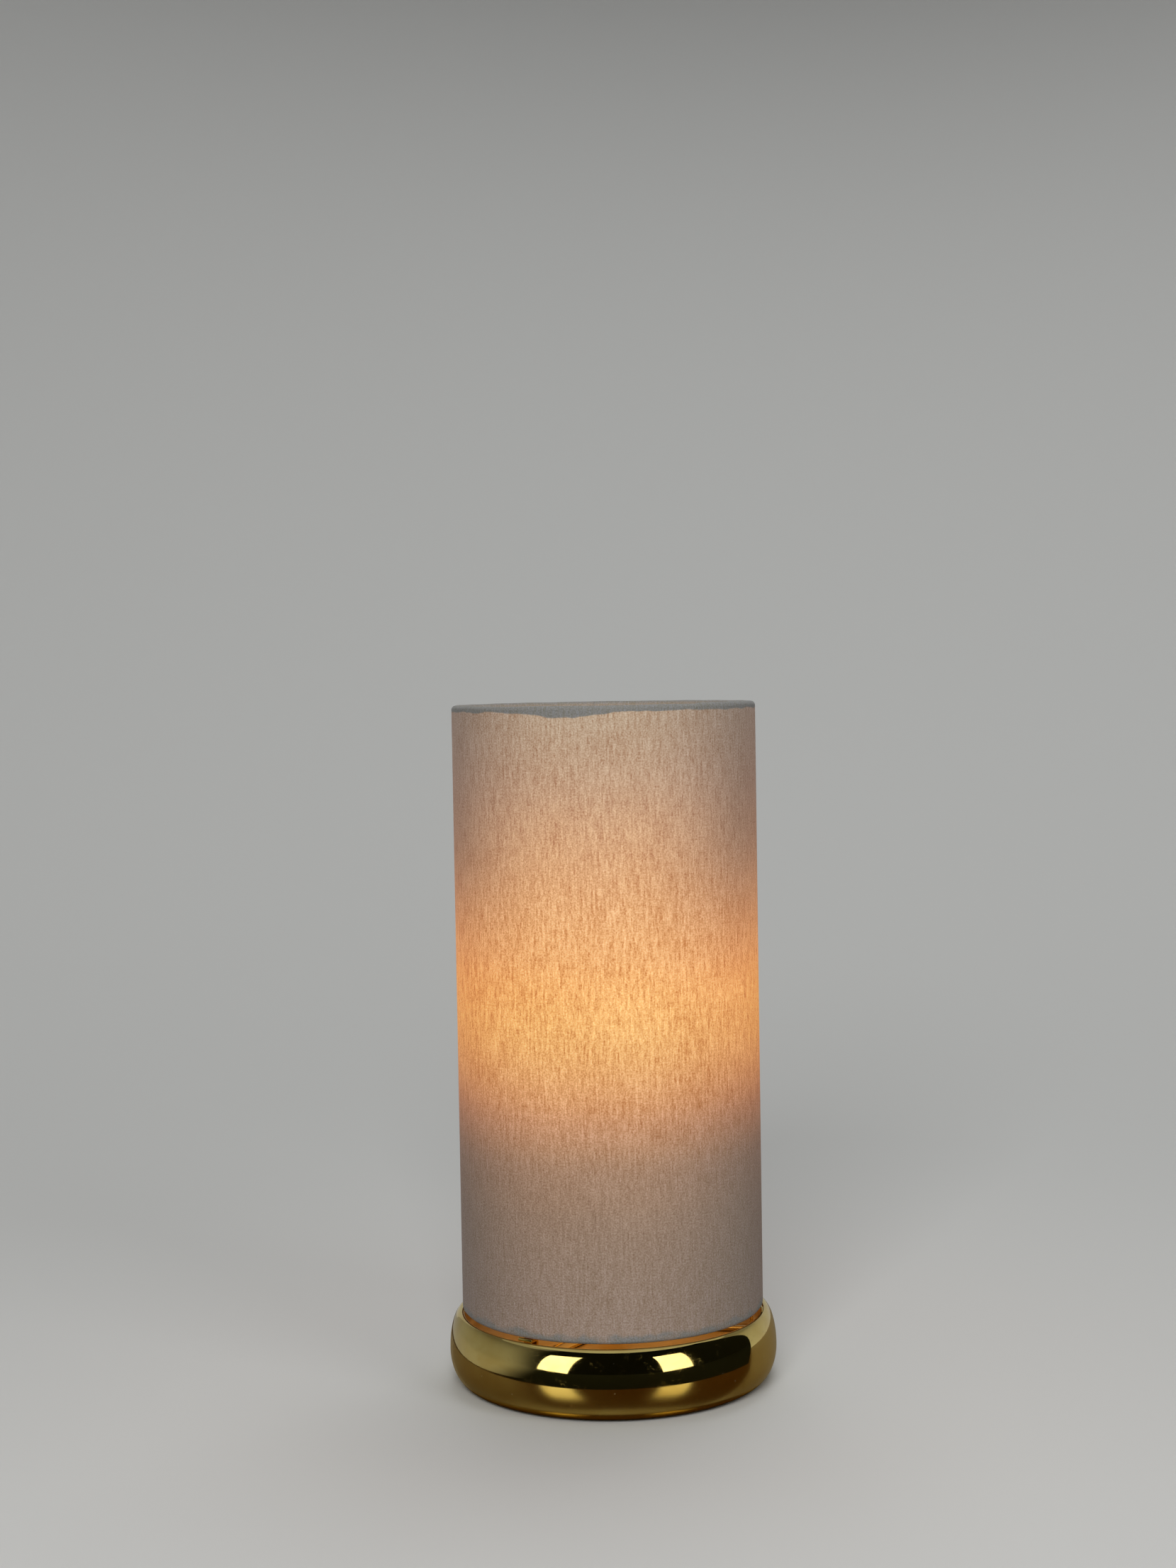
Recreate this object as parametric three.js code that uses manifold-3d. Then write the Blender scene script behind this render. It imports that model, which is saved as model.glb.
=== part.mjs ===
// A table lamp: a tall linen drum shade standing over a low brass ring base, with an E27 bulb inside.
// Millimetres, +Z up. The origin is where the lamp's axis meets the table; the front faces -Y.
import * as THREE from "three";
import { mergeVertices } from "three/addons/utils/BufferGeometryUtils.js";
import Module from "manifold-3d";

const wasm = await Module();
wasm.setup();

// Driving dimensions: clearances
const FIT = 0.3; // between pieces that rest on or in each other
const THREAD_CLEARANCE = 0.47; // radial, between the bulb's thread and the holder's
const SHADE_PLAY = 1; // radial, between the carrier's uprights and the shade's lower hem

// Driving dimensions: shade
const SHADE_DIAMETER = 150;
const SHADE_HEIGHT = 300;
const SHADE_GAP = 1.6; // light gap between the base's crest and the shade's lower hem
const FABRIC_THICKNESS = 0.5;
const LINER_THICKNESS = 0.4;
const RING_WIRE_DIAMETER = 2.4;
const HEM_TUCK = 8; // fabric turned in past the ring's centre

// Driving dimensions: brass base shell
const BASE_HEIGHT = 35.4; // table to crest
const SHELL_WALL = 1;
const CREST_OVERHANG = 0.75; // the crest circle lies this far outside the shade
const CREST_ROLL = 2; // radius of the rolled crest
const BELLY_BULGE = 5.75; // the belly stands this far outside the crest circle
const BELLY_HEIGHT = 17;
const FOOT_INSET = 9; // the foot circle lies this far inside the belly
const FOOT_LIFT = 1; // the shell's lower edge clears the table by this
const FOOT_TURN = 3; // edge turned in at the foot
const DECK_DEPTH = 11.4; // crest to the sunken deck
const DECK_FILLET = 3.5;

// Driving dimensions: foot, ballast and cord inlet
const FELT_THICKNESS = 1;
const FELT_MARGIN = 2; // the felt stops this far inside the ballast's edge
const BALLAST_THICKNESS = 9.7;
const BALLAST_BOSS_DIAMETER = 44;
const RECESS_DIAMETER = 30; // room for the lower nut, in the ballast's underside
const RECESS_DEPTH = 12;
const CORD_SLOT_WIDTH = 9;
const INLET_BORE = 7;
const INLET_WALL = 1.2;
const INLET_FLANGE = 1.2; // the grommet's flange, in width and thickness

// Driving dimensions: tie rod, its fasteners and the sleeve
const TUBE_DIAMETER = 10;
const TUBE_WALL = 1.5;
const TUBE_PROUD = 1; // the tube runs this far past its lower nut and its upper thread
const NUT_ACROSS_FLATS = 14;
const NUT_HEIGHT = 4;
const WASHER_DIAMETER = 22;
const WASHER_THICKNESS = 1.2;
const SLEEVE_WALL = 1.7;
const SLEEVE_LENGTH = 51;

// Driving dimensions: shade carrier
const STRIP_WIDTH = 8;
const STRIP_THICKNESS = 1.5;
const HUB_DIAMETER = 34;
const ARM_COUNT = 3;
const FIRST_ARM_AZIMUTH = -34.5; // degrees from the front, seen from above, towards -X
const UPRIGHT_RISE = 5; // the uprights reach this far above their seats
const SEAT_INSET = 0.8; // the seats stop this far inside the shade's face

// Driving dimensions: E27 lampholder
const HOLDER_DIAMETER = 39;
const HOLDER_WALL = 2;
const NECK_DIAMETER = 17;
const NECK_HEIGHT = 6;
const NECK_BORE_LENGTH = 8;
const CAP_HEIGHT = 21; // neck's foot to the cap's shoulder
const CAP_SPIGOT_HEIGHT = 5;
const CAP_LEDGE_WIDTH = 3.5;
const INSERT_HEIGHT = 11;
const SKIRT_HEIGHT = 33.5;
const SKIRT_LIP = 1.5; // chamfer round the skirt's mouth
const CONTACT_THICKNESS = 0.5;
const CONTACT_WIDTH = 5;
const CONTACT_RISE = 2.2; // block to the top of the centre contact
const CONTACT_FOOT = 3.5; // length of each contact's foot on the block
const TERMINAL_SCREW_DIAMETER = 3;
const TERMINAL_HEAD_DIAMETER = 5;
const TERMINAL_HEAD_HEIGHT = 2;
const TERMINAL_SCREW_LENGTH = 6;
const TERMINAL_SPACING = 14;
const GRUB_DIAMETER = 3;
const SLOT_WIDTH = 0.8; // driver slots in the small screws
const SLOT_DEPTH = 0.8;

// Driving dimensions: bulb
const THREAD_DIAMETER = 26; // E27 cap, over the thread
const THREAD_DEPTH = 1;
const THREAD_PITCH = 3.629;
const THREAD_TURNS = 4.5;
const TIP_DIAMETER = 9;
const TIP_HEIGHT = 2;
const INSULATOR_HEIGHT = 3.2;
const SCREW_CAP_HEIGHT = 20;
const SCREW_CAP_WALL = 0.8;
const SCREW_CAP_RIM = 2.5;
const HOUSING_HEIGHT = 35;
const HOUSING_WALL = 1.5;
const HOUSING_SPIGOT = 6;
const DOME_DIAMETER = 60;
const DOME_FOOT_DIAMETER = 51;
const DOME_WALL = 1.2;
const DRIVER_BOARD_THICKNESS = 1.6;
const LED_BOARD_THICKNESS = 1.2;
const LED_SIZE = 3;
const LED_HEIGHT = 0.7;
const LED_COUNT = 10;

// How finely round pieces are cut: sides of large and small rounds, steps per quarter turn of a profile
const ROUND_SIDES = 40;
const SMALL_SIDES = 24;
const SCREW_SIDES = 12;
const QUARTER_STEPS = 5;
const ROLL_STEPS = 2; // for the hems and fillets
const CREST_STEPS = 3;
const THREAD_ROWS_PER_TURN = 5;
const WIRE_SIDES = 8;

// Radii and heights that several pieces share
const shadeRadius = SHADE_DIAMETER / 2;
const shadeBottom = BASE_HEIGHT + SHADE_GAP;
const shadeTop = shadeBottom + SHADE_HEIGHT;
const wireRadius = RING_WIRE_DIAMETER / 2;
const hemBore = wireRadius + FIT;
const hemRoll = hemBore + FABRIC_THICKNESS;
const ringRadius = shadeRadius - hemRoll;
const lowerRingHeight = shadeBottom + hemRoll;
const upperRingHeight = shadeTop - hemRoll;
const hemInnerRadius = ringRadius - hemRoll;

const crestRadius = shadeRadius + CREST_OVERHANG;
const bellyRadius = crestRadius + BELLY_BULGE;
const footRadius = bellyRadius - FOOT_INSET;
const wellRadius = crestRadius - CREST_ROLL;
const deckTop = BASE_HEIGHT - DECK_DEPTH;
const deckUnderside = deckTop - SHELL_WALL;

const tubeRadius = TUBE_DIAMETER / 2;
const tubeHole = tubeRadius + FIT;
const ballastBottom = FELT_THICKNESS + FIT;
const ballastRadius = footRadius - FOOT_TURN - FIT;
const bossRadius = BALLAST_BOSS_DIAMETER / 2;
const recessRadius = RECESS_DIAMETER / 2;
const recessTop = ballastBottom + RECESS_DEPTH;
const bottomWasherTop = recessTop - FIT;
const bottomNutTop = bottomWasherTop - WASHER_THICKNESS - FIT;
const tubeBottom = bottomNutTop - NUT_HEIGHT - TUBE_PROUD;

const inletBoreRadius = INLET_BORE / 2;
const inletNeckRadius = inletBoreRadius + INLET_WALL;
const inletHoleRadius = inletNeckRadius + FIT;
const inletFlangeRadius = inletHoleRadius + INLET_FLANGE;

const stripBottom = deckTop + FIT;
const stripTop = stripBottom + STRIP_THICKNESS;
const deckWasherBottom = stripTop + FIT;
const deckNutBottom = deckWasherBottom + WASHER_THICKNESS + FIT;
const sleeveBottom = deckNutBottom + NUT_HEIGHT + FIT;
const sleeveTop = sleeveBottom + SLEEVE_LENGTH;

const holderRadius = HOLDER_DIAMETER / 2;
const neckRadius = NECK_DIAMETER / 2;
const capBottom = sleeveTop + FIT;
const tubeTop = capBottom + NECK_BORE_LENGTH + TUBE_PROUD;
const capShoulder = capBottom + CAP_HEIGHT;
const spigotTop = capShoulder + CAP_SPIGOT_HEIGHT;
const spigotRadius = holderRadius - HOLDER_WALL;
const insertBore = spigotRadius - HOLDER_WALL;
const insertRadius = insertBore - FIT;
const insertTop = spigotTop;
const insertBottom = insertTop - INSERT_HEIGHT;
const capLedge = insertBottom - FIT;
const skirtBottom = capShoulder + FIT;
const skirtTop = skirtBottom + SKIRT_HEIGHT;
const skirtShoulder = spigotTop + FIT;

const threadRadius = THREAD_DIAMETER / 2;
const threadRoot = threadRadius - THREAD_DEPTH;
const holderBore = threadRadius + THREAD_CLEARANCE;
const threadLength = THREAD_TURNS * THREAD_PITCH;
const contactTop = insertTop + CONTACT_RISE;
const tipBottom = contactTop + FIT;
const insulatorBottom = tipBottom + TIP_HEIGHT + FIT;
const screwCapBottom = insulatorBottom + INSULATOR_HEIGHT + FIT;
const screwCapTop = screwCapBottom + SCREW_CAP_HEIGHT;
const threadBottom = screwCapBottom + SCREW_CAP_WALL;
const threadTop = threadBottom + threadLength;
const screwCapBore = threadRoot - SCREW_CAP_WALL;
const housingBottom = screwCapTop + FIT;
const housingTop = housingBottom + HOUSING_HEIGHT;
const housingSpigotRadius = screwCapBore - FIT;
const housingSpigotBore = housingSpigotRadius - HOUSING_WALL;
const domeFootRadius = DOME_FOOT_DIAMETER / 2;
const domeRadius = DOME_DIAMETER / 2;
const domeBottom = housingTop + FIT;
const domeCentre = domeBottom + Math.sqrt(domeRadius ** 2 - domeFootRadius ** 2);
const ledBoardRadius = domeFootRadius - DOME_WALL - 2 * FIT;
const ledRingRadius = ledBoardRadius - 2 * LED_SIZE;

// Materials: one colour, roughness and metalness for each kind of stuff
const STUFFS = {
  polishedBrass: [0xe6d895, 0.08, 1],
  contactBrass: [0xc9a24e, 0.3, 1],
  castIron: [0x3c3b39, 0.8, 0.6],
  zincSteel: [0xb4b6b5, 0.35, 1],
  greenFelt: [0x2f3a30, 1, 0],
  blackPlastic: [0x1b1b1b, 0.5, 0],
  whitePlastic: [0xe9e6de, 0.45, 0],
  whiteCeramic: [0xf0ece2, 0.3, 0],
  circuitBoard: [0x2d6a45, 0.5, 0],
  aluminium: [0xc4c6c8, 0.4, 1],
  opalPlastic: [0xfff0d2, 0.35, 0],
  linen: [0xa89882, 0.95, 0],
  linerSheet: [0xf3efe6, 0.6, 0],
  whiteWire: [0xe8e8e4, 0.5, 0.3],
};

// A closed solid from a geometry, for joining and cutting
function solidOf(geometry) {
  const bare = geometry.clone();
  bare.deleteAttribute("normal");
  bare.deleteAttribute("uv");
  const merged = mergeVertices(bare, 1e-4);
  const corners = merged.index.array;
  const kept = [];
  for (let i = 0; i < corners.length; i += 3) {
    const [a, b, c] = corners.slice(i, i + 3);
    if (a !== b && b !== c && c !== a) {
      kept.push(a, b, c);
    }
  }
  return new wasm.Manifold(
    new wasm.Mesh({
      numProp: 3,
      vertProperties: Float32Array.from(merged.attributes.position.array),
      triVerts: Uint32Array.from(kept),
    }),
  );
}

// The geometry of a joined or cut solid
function geometryOf(solid) {
  const { vertProperties, triVerts } = solid.getMesh();
  const geometry = new THREE.BufferGeometry();
  geometry.setAttribute("position", new THREE.BufferAttribute(vertProperties, 3));
  geometry.setIndex(new THREE.BufferAttribute(triVerts, 1));
  geometry.computeVertexNormals();
  return geometry;
}

// The first geometry with every one of the others joined to it
function joined(first, ...others) {
  return geometryOf(others.reduce((solid, other) => solid.add(solidOf(other)), solidOf(first)));
}

// The first geometry with every one of the others cut from it
function cut(first, ...others) {
  return geometryOf(others.reduce((solid, other) => solid.subtract(solidOf(other)), solidOf(first)));
}

// A profile of [radius, height] points turned about Z; it runs up the outside of the piece
function turned(profile, sides = ROUND_SIDES) {
  const points = profile.map(([radius, height]) => new THREE.Vector2(radius, height));
  return new THREE.LatheGeometry(points, sides).rotateX(Math.PI / 2);
}

// A closed profile: the last point joins the first
function turnedRing(profile, sides = ROUND_SIDES) {
  return turned([...profile, profile[0]], sides);
}

// Points along an ellipse's arc, from one angle in degrees to another
function arc([radius, height], acrossRadius, upRadius, from, to, quarterSteps = QUARTER_STEPS) {
  const steps = Math.max(1, Math.round((quarterSteps * Math.abs(to - from)) / 90));
  return Array.from({ length: steps + 1 }, (_, step) => {
    const angle = THREE.MathUtils.degToRad(from + ((to - from) * step) / steps);
    return [radius + acrossRadius * Math.cos(angle), height + upRadius * Math.sin(angle)];
  });
}

// Points along a small circle's arc, for rolls and fillets
function round(centre, radius, from, to) {
  return arc(centre, radius, radius, from, to, ROLL_STEPS);
}

// A plain tube about Z
function tube(outerRadius, innerRadius, bottom, top, sides = SMALL_SIDES) {
  const outside = [[outerRadius, bottom], [outerRadius, top]];
  return turnedRing([...outside, [innerRadius, top], [innerRadius, bottom]], sides);
}

// A solid rod about Z
function rod(radius, bottom, top, sides = SMALL_SIDES) {
  return turned([[0, bottom], [radius, bottom], [radius, top], [0, top]], sides);
}

// A box between two opposite corners
function box(low, high) {
  const [sizeX, sizeY, sizeZ] = high.map((value, axis) => value - low[axis]);
  const geometry = new THREE.BoxGeometry(sizeX, sizeY, sizeZ);
  const centre = high.map((value, axis) => (value + low[axis]) / 2);
  return geometry.translate(...centre);
}

// A hexagon nut with a clear bore for the tube
function nut(bottom) {
  const cornerRadius = NUT_ACROSS_FLATS / Math.sqrt(3);
  return cut(
    rod(cornerRadius, bottom, bottom + NUT_HEIGHT, 6),
    rod(tubeHole, bottom - NUT_HEIGHT, bottom + 2 * NUT_HEIGHT),
  );
}

// A flat washer on the tube
function washer(bottom) {
  return tube(WASHER_DIAMETER / 2, tubeHole, bottom, bottom + WASHER_THICKNESS);
}

// How far the E27 thread has faded in and how high its wave is, both 0 to 1, at a height and an angle
function threadForm(height, angle) {
  const run = THREAD_PITCH / 2;
  const fade = Math.min(1, (height - threadBottom) / run, (threadTop - height) / run);
  const wave = (1 + Math.cos((2 * Math.PI * height) / THREAD_PITCH - angle)) / 2;
  return [Math.max(0, fade), wave];
}

// Heights of the rows that carry the thread, from its bottom to its top
function threadRows() {
  const count = Math.round(THREAD_TURNS * THREAD_ROWS_PER_TURN);
  return Array.from({ length: count + 1 }, (_, row) => threadBottom + (threadLength * row) / count);
}

// A turned geometry whose wall at one radius is reshaped into a thread
function threaded(geometry, wallRadius, radiusAt) {
  const positions = geometry.attributes.position;
  const near = THREAD_DEPTH / 100;
  for (let i = 0; i < positions.count; i += 1) {
    const [x, y, z] = [positions.getX(i), positions.getY(i), positions.getZ(i)];
    if (Math.abs(Math.hypot(x, y) - wallRadius) < near && z > threadBottom && z < threadTop) {
      const scale = radiusAt(...threadForm(z, Math.atan2(y, x))) / wallRadius;
      positions.setXY(i, x * scale, y * scale);
    }
  }
  return geometry;
}

// A small screw's driver slot across its top, at a radius from its own axis
function driverSlot(radius, top) {
  return box([-radius, -SLOT_WIDTH / 2, top - SLOT_DEPTH], [radius, SLOT_WIDTH / 2, top + SLOT_DEPTH]);
}

// Base shell: the foot's turned edge, the bulged wall, the rolled crest and the sunken deck in one sheet
function baseShell() {
  const footCentre = [footRadius, BELLY_HEIGHT];
  const bellyCentre = [crestRadius, BELLY_HEIGHT];
  const crestCentre = [crestRadius, BASE_HEIGHT - CREST_ROLL];
  const filletCentre = [wellRadius - DECK_FILLET, deckTop + DECK_FILLET];
  const face = (inset, filletGrowth) => [
    [footRadius - FOOT_TURN, FOOT_LIFT + inset],
    ...arc(footCentre, FOOT_INSET - inset, BELLY_HEIGHT - FOOT_LIFT - inset, -90, 0),
    ...arc(bellyCentre, BELLY_BULGE - inset, BASE_HEIGHT - BELLY_HEIGHT - inset, 0, 90).slice(1),
    ...arc(crestCentre, CREST_ROLL - inset, CREST_ROLL - inset, 90, 180, CREST_STEPS).slice(1),
    ...round(filletCentre, DECK_FILLET + filletGrowth, 0, -90),
    [tubeHole, deckTop - inset],
  ];
  const outside = face(0, 0);
  const inside = face(SHELL_WALL, SHELL_WALL);
  const sheet = turnedRing([...outside, ...inside.reverse()]);
  const inletHole = rod(inletHoleRadius, crestRadius - BELLY_BULGE, bellyRadius + BELLY_BULGE);
  return cut(sheet, inletHole.rotateX(-Math.PI / 2).translate(0, 0, BELLY_HEIGHT));
}

// Ballast: a stepped disc with a boss up to the deck, a recess for the lower nut and a slot for the cord
function ballast() {
  const bodyTop = ballastBottom + BALLAST_THICKNESS;
  const bossTop = deckUnderside - FIT;
  const disc = turnedRing([
    [recessRadius, ballastBottom],
    [ballastRadius, ballastBottom],
    [ballastRadius, bodyTop],
    [bossRadius, bodyTop],
    [bossRadius, bossTop],
    [tubeHole, bossTop],
    [tubeHole, recessTop],
    [recessRadius, recessTop],
  ]);
  const slotEnd = ballastRadius + CORD_SLOT_WIDTH;
  const slot = box([-CORD_SLOT_WIDTH / 2, 0, -ballastBottom], [CORD_SLOT_WIDTH / 2, slotEnd, recessTop]);
  const aroundTube = rod(recessRadius, -ballastBottom, recessTop);
  return cut(disc, joined(slot, aroundTube));
}

// Cord grommet: a bush through the belly at the back, with a flange on each side of the wall
function cordGrommet() {
  // The wall falls away from its widest circle under the flanges: round the belly, below it and on a flat
  const reach = inletFlangeRadius;
  const roundDrop = bellyRadius - Math.sqrt(bellyRadius ** 2 - reach ** 2);
  const lowerRise = BELLY_HEIGHT - FOOT_LIFT - SHELL_WALL;
  const lowerDrop = (FOOT_INSET - SHELL_WALL) * (1 - Math.sqrt(1 - (reach / lowerRise) ** 2));
  const flatDrop = bellyRadius * (1 - Math.cos(Math.PI / ROUND_SIDES));
  const outerSeat = bellyRadius + FIT;
  const innerSeat = bellyRadius - SHELL_WALL - Math.max(roundDrop, lowerDrop) - flatDrop - FIT;
  const bush = turnedRing(
    [
      [inletFlangeRadius, innerSeat - INLET_FLANGE],
      [inletFlangeRadius, innerSeat],
      [inletNeckRadius, innerSeat],
      [inletNeckRadius, outerSeat],
      [inletFlangeRadius, outerSeat],
      [inletFlangeRadius, outerSeat + INLET_FLANGE],
      [inletBoreRadius, outerSeat + INLET_FLANGE],
      [inletBoreRadius, innerSeat - INLET_FLANGE],
    ],
    SMALL_SIDES,
  );
  return bush.rotateX(-Math.PI / 2).translate(0, 0, BELLY_HEIGHT);
}

// Shade carrier: a hub on the deck, with arms that turn up inside the lower hem and bear a seat each
function shadeCarrier() {
  const uprightOuter = hemInnerRadius - SHADE_PLAY;
  const seatTop = shadeBottom - FIT;
  const halfWidth = STRIP_WIDTH / 2;
  const arms = Array.from({ length: ARM_COUNT }, (_, index) => {
    const outline = new THREE.Shape();
    outline.moveTo(0, stripBottom);
    outline.lineTo(uprightOuter, stripBottom);
    outline.lineTo(uprightOuter, seatTop - STRIP_THICKNESS);
    outline.lineTo(shadeRadius - SEAT_INSET, seatTop - STRIP_THICKNESS);
    outline.lineTo(shadeRadius - SEAT_INSET, seatTop);
    outline.lineTo(uprightOuter, seatTop);
    outline.lineTo(uprightOuter, seatTop + UPRIGHT_RISE);
    outline.lineTo(uprightOuter - STRIP_THICKNESS, seatTop + UPRIGHT_RISE);
    outline.lineTo(uprightOuter - STRIP_THICKNESS, stripTop);
    outline.lineTo(0, stripTop);
    outline.closePath();
    const arm = new THREE.ExtrudeGeometry(outline, { depth: STRIP_WIDTH, bevelEnabled: false });
    const azimuth = THREE.MathUtils.degToRad(FIRST_ARM_AZIMUTH - 90 + (360 * index) / ARM_COUNT);
    return arm.translate(0, 0, -halfWidth).rotateX(Math.PI / 2).rotateZ(azimuth);
  });
  const hub = rod(HUB_DIAMETER / 2, stripBottom, stripTop);
  return cut(joined(hub, ...arms), rod(tubeHole, deckTop, sleeveBottom));
}

// Lampholder cap: a neck on the tube, a dome, a ledge for the contact block and a spigot for the skirt
function holderCap() {
  const wellFloor = capBottom + NECK_BORE_LENGTH;
  const wellRadiusInside = insertBore - CAP_LEDGE_WIDTH;
  const domeFoot = capBottom + NECK_HEIGHT;
  const domeRise = capShoulder - domeFoot;
  const body = turnedRing(
    [
      [tubeHole, capBottom],
      [neckRadius, capBottom],
      ...arc([neckRadius, capShoulder], holderRadius - neckRadius, domeRise, -90, 0),
      [spigotRadius, capShoulder],
      [spigotRadius, spigotTop],
      [insertBore, spigotTop],
      [insertBore, capLedge],
      [wellRadiusInside, capLedge],
      [wellRadiusInside - CAP_LEDGE_WIDTH, wellFloor],
      [tubeHole, wellFloor],
    ],
    SMALL_SIDES,
  );
  return cut(body, grubAxis(rod(GRUB_DIAMETER / 2 + FIT, tubeRadius, NECK_DIAMETER, SCREW_SIDES)));
}

// Turns a piece made along +Z to lie along +Y at the middle of the holder's neck
function grubAxis(geometry) {
  return geometry.rotateX(-Math.PI / 2).translate(0, 0, capBottom + NECK_HEIGHT / 2);
}

// Grub screw: it presses on the tube from the back of the neck
function holderGrubScrew() {
  const screw = rod(GRUB_DIAMETER / 2, tubeHole, neckRadius, SCREW_SIDES);
  return grubAxis(cut(screw, driverSlot(GRUB_DIAMETER, neckRadius)));
}

// Contact block: a ceramic puck with two blind holes for the terminal screws
function holderInsert() {
  const holes = [-1, 1].map((side) => {
    const holeRadius = TERMINAL_SCREW_DIAMETER / 2 + FIT;
    const holeTop = insertBottom + TERMINAL_SCREW_LENGTH + FIT;
    const hole = rod(holeRadius, capLedge - FIT, holeTop, SCREW_SIDES);
    return hole.translate((side * TERMINAL_SPACING) / 2, 0, 0);
  });
  return cut(rod(insertRadius, insertBottom, insertTop), ...holes);
}

// Terminal screw: a slotted cheese head under the contact block
function terminalScrew(side) {
  const headTop = insertBottom - FIT;
  const headBottom = headTop - TERMINAL_HEAD_HEIGHT;
  const screw = turned(
    [
      [0, headBottom],
      [TERMINAL_HEAD_DIAMETER / 2, headBottom],
      [TERMINAL_HEAD_DIAMETER / 2, headTop],
      [TERMINAL_SCREW_DIAMETER / 2, headTop],
      [TERMINAL_SCREW_DIAMETER / 2, insertBottom + TERMINAL_SCREW_LENGTH],
      [0, insertBottom + TERMINAL_SCREW_LENGTH],
    ],
    SCREW_SIDES,
  );
  const slotted = cut(screw, driverSlot(TERMINAL_HEAD_DIAMETER, headBottom));
  return slotted.translate((side * TERMINAL_SPACING) / 2, 0, 0);
}

// A bent contact strip, drawn from the side in X and Z and as wide as the strip in Y
function contactStrip(outlinePoints) {
  const outline = new THREE.Shape(outlinePoints.map(([x, z]) => new THREE.Vector2(x, z)));
  const strip = new THREE.ExtrudeGeometry(outline, { depth: CONTACT_WIDTH, bevelEnabled: false });
  return strip.translate(0, 0, -CONTACT_WIDTH / 2).rotateX(Math.PI / 2);
}

// Centre contact: a tongue that rises from its foot to the middle of the block
function centerContact() {
  const footBottom = insertTop + FIT;
  const footTop = footBottom + CONTACT_THICKNESS;
  const tongueEnd = CONTACT_FOOT;
  const bend = -tongueEnd;
  const footEnd = bend - CONTACT_FOOT;
  return contactStrip([
    [footEnd, footBottom],
    [bend, footBottom],
    [0, contactTop - CONTACT_THICKNESS],
    [tongueEnd, contactTop - CONTACT_THICKNESS],
    [tongueEnd, contactTop],
    [0, contactTop],
    [bend, footTop],
    [footEnd, footTop],
  ]);
}

// Side contact: an upright tongue under the edge of the bulb's cap
function sideContact() {
  const footBottom = insertTop + FIT;
  const uprightOuter = threadRoot - CONTACT_THICKNESS;
  const uprightInner = uprightOuter - CONTACT_THICKNESS;
  const uprightTop = screwCapBottom - FIT;
  return contactStrip([
    [uprightInner - CONTACT_FOOT, footBottom],
    [uprightOuter, footBottom],
    [uprightOuter, uprightTop],
    [uprightInner, uprightTop],
    [uprightInner, footBottom + CONTACT_THICKNESS],
    [uprightInner - CONTACT_FOOT, footBottom + CONTACT_THICKNESS],
  ]);
}

// Lampholder skirt: it caps the spigot and has the female thread, whose crests face the bulb's roots
function holderSkirt() {
  const spigotBore = spigotRadius + FIT;
  const body = turnedRing(
    [
      [spigotBore, skirtBottom],
      [holderRadius, skirtBottom],
      [holderRadius, skirtTop - SKIRT_LIP],
      [holderRadius - SKIRT_LIP, skirtTop],
      [holderBore + SKIRT_LIP, skirtTop],
      [holderBore, skirtTop - SKIRT_LIP],
      ...threadRows().reverse().map((height) => [holderBore, height]),
      [holderBore, skirtShoulder],
      [spigotBore, skirtShoulder],
    ],
    SMALL_SIDES,
  );
  return threaded(body, holderBore, (fade, wave) => holderBore - THREAD_DEPTH * fade * (1 - wave));
}

// Bulb tip: the centre contact of the bulb's cap
function bulbContactTip() {
  const tipRadius = TIP_DIAMETER / 2;
  const crown = TIP_HEIGHT / 2;
  return turned(
    [
      [0, tipBottom],
      [tipRadius - crown, tipBottom],
      [tipRadius, tipBottom + crown],
      [tipRadius, tipBottom + TIP_HEIGHT],
      [0, tipBottom + TIP_HEIGHT],
    ],
    SMALL_SIDES,
  );
}

// Bulb insulator: the black cone between the tip and the screw cap
function bulbInsulator() {
  const top = insulatorBottom + INSULATOR_HEIGHT;
  return turned(
    [
      [0, insulatorBottom],
      [TIP_DIAMETER / 2, insulatorBottom],
      [screwCapBore - SCREW_CAP_WALL, top],
      [0, top],
    ],
    SMALL_SIDES,
  );
}

// Bulb screw cap: a pressed shell with the male thread and a plain rim above it
function bulbScrewCap() {
  const floorTop = screwCapBottom + SCREW_CAP_WALL;
  const floorHole = TIP_DIAMETER / 2;
  const body = turnedRing(
    [
      [floorHole, screwCapBottom],
      [screwCapBore, screwCapBottom],
      ...threadRows().map((height) => [threadRoot, height]),
      [threadRoot, screwCapTop - SCREW_CAP_RIM],
      [threadRadius, screwCapTop - SCREW_CAP_RIM + THREAD_DEPTH],
      [threadRadius, screwCapTop],
      [screwCapBore, screwCapTop],
      [screwCapBore, floorTop],
      [floorHole, floorTop],
    ],
    SMALL_SIDES,
  );
  return threaded(body, threadRoot, (fade, wave) => threadRoot + THREAD_DEPTH * fade * wave);
}

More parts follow.
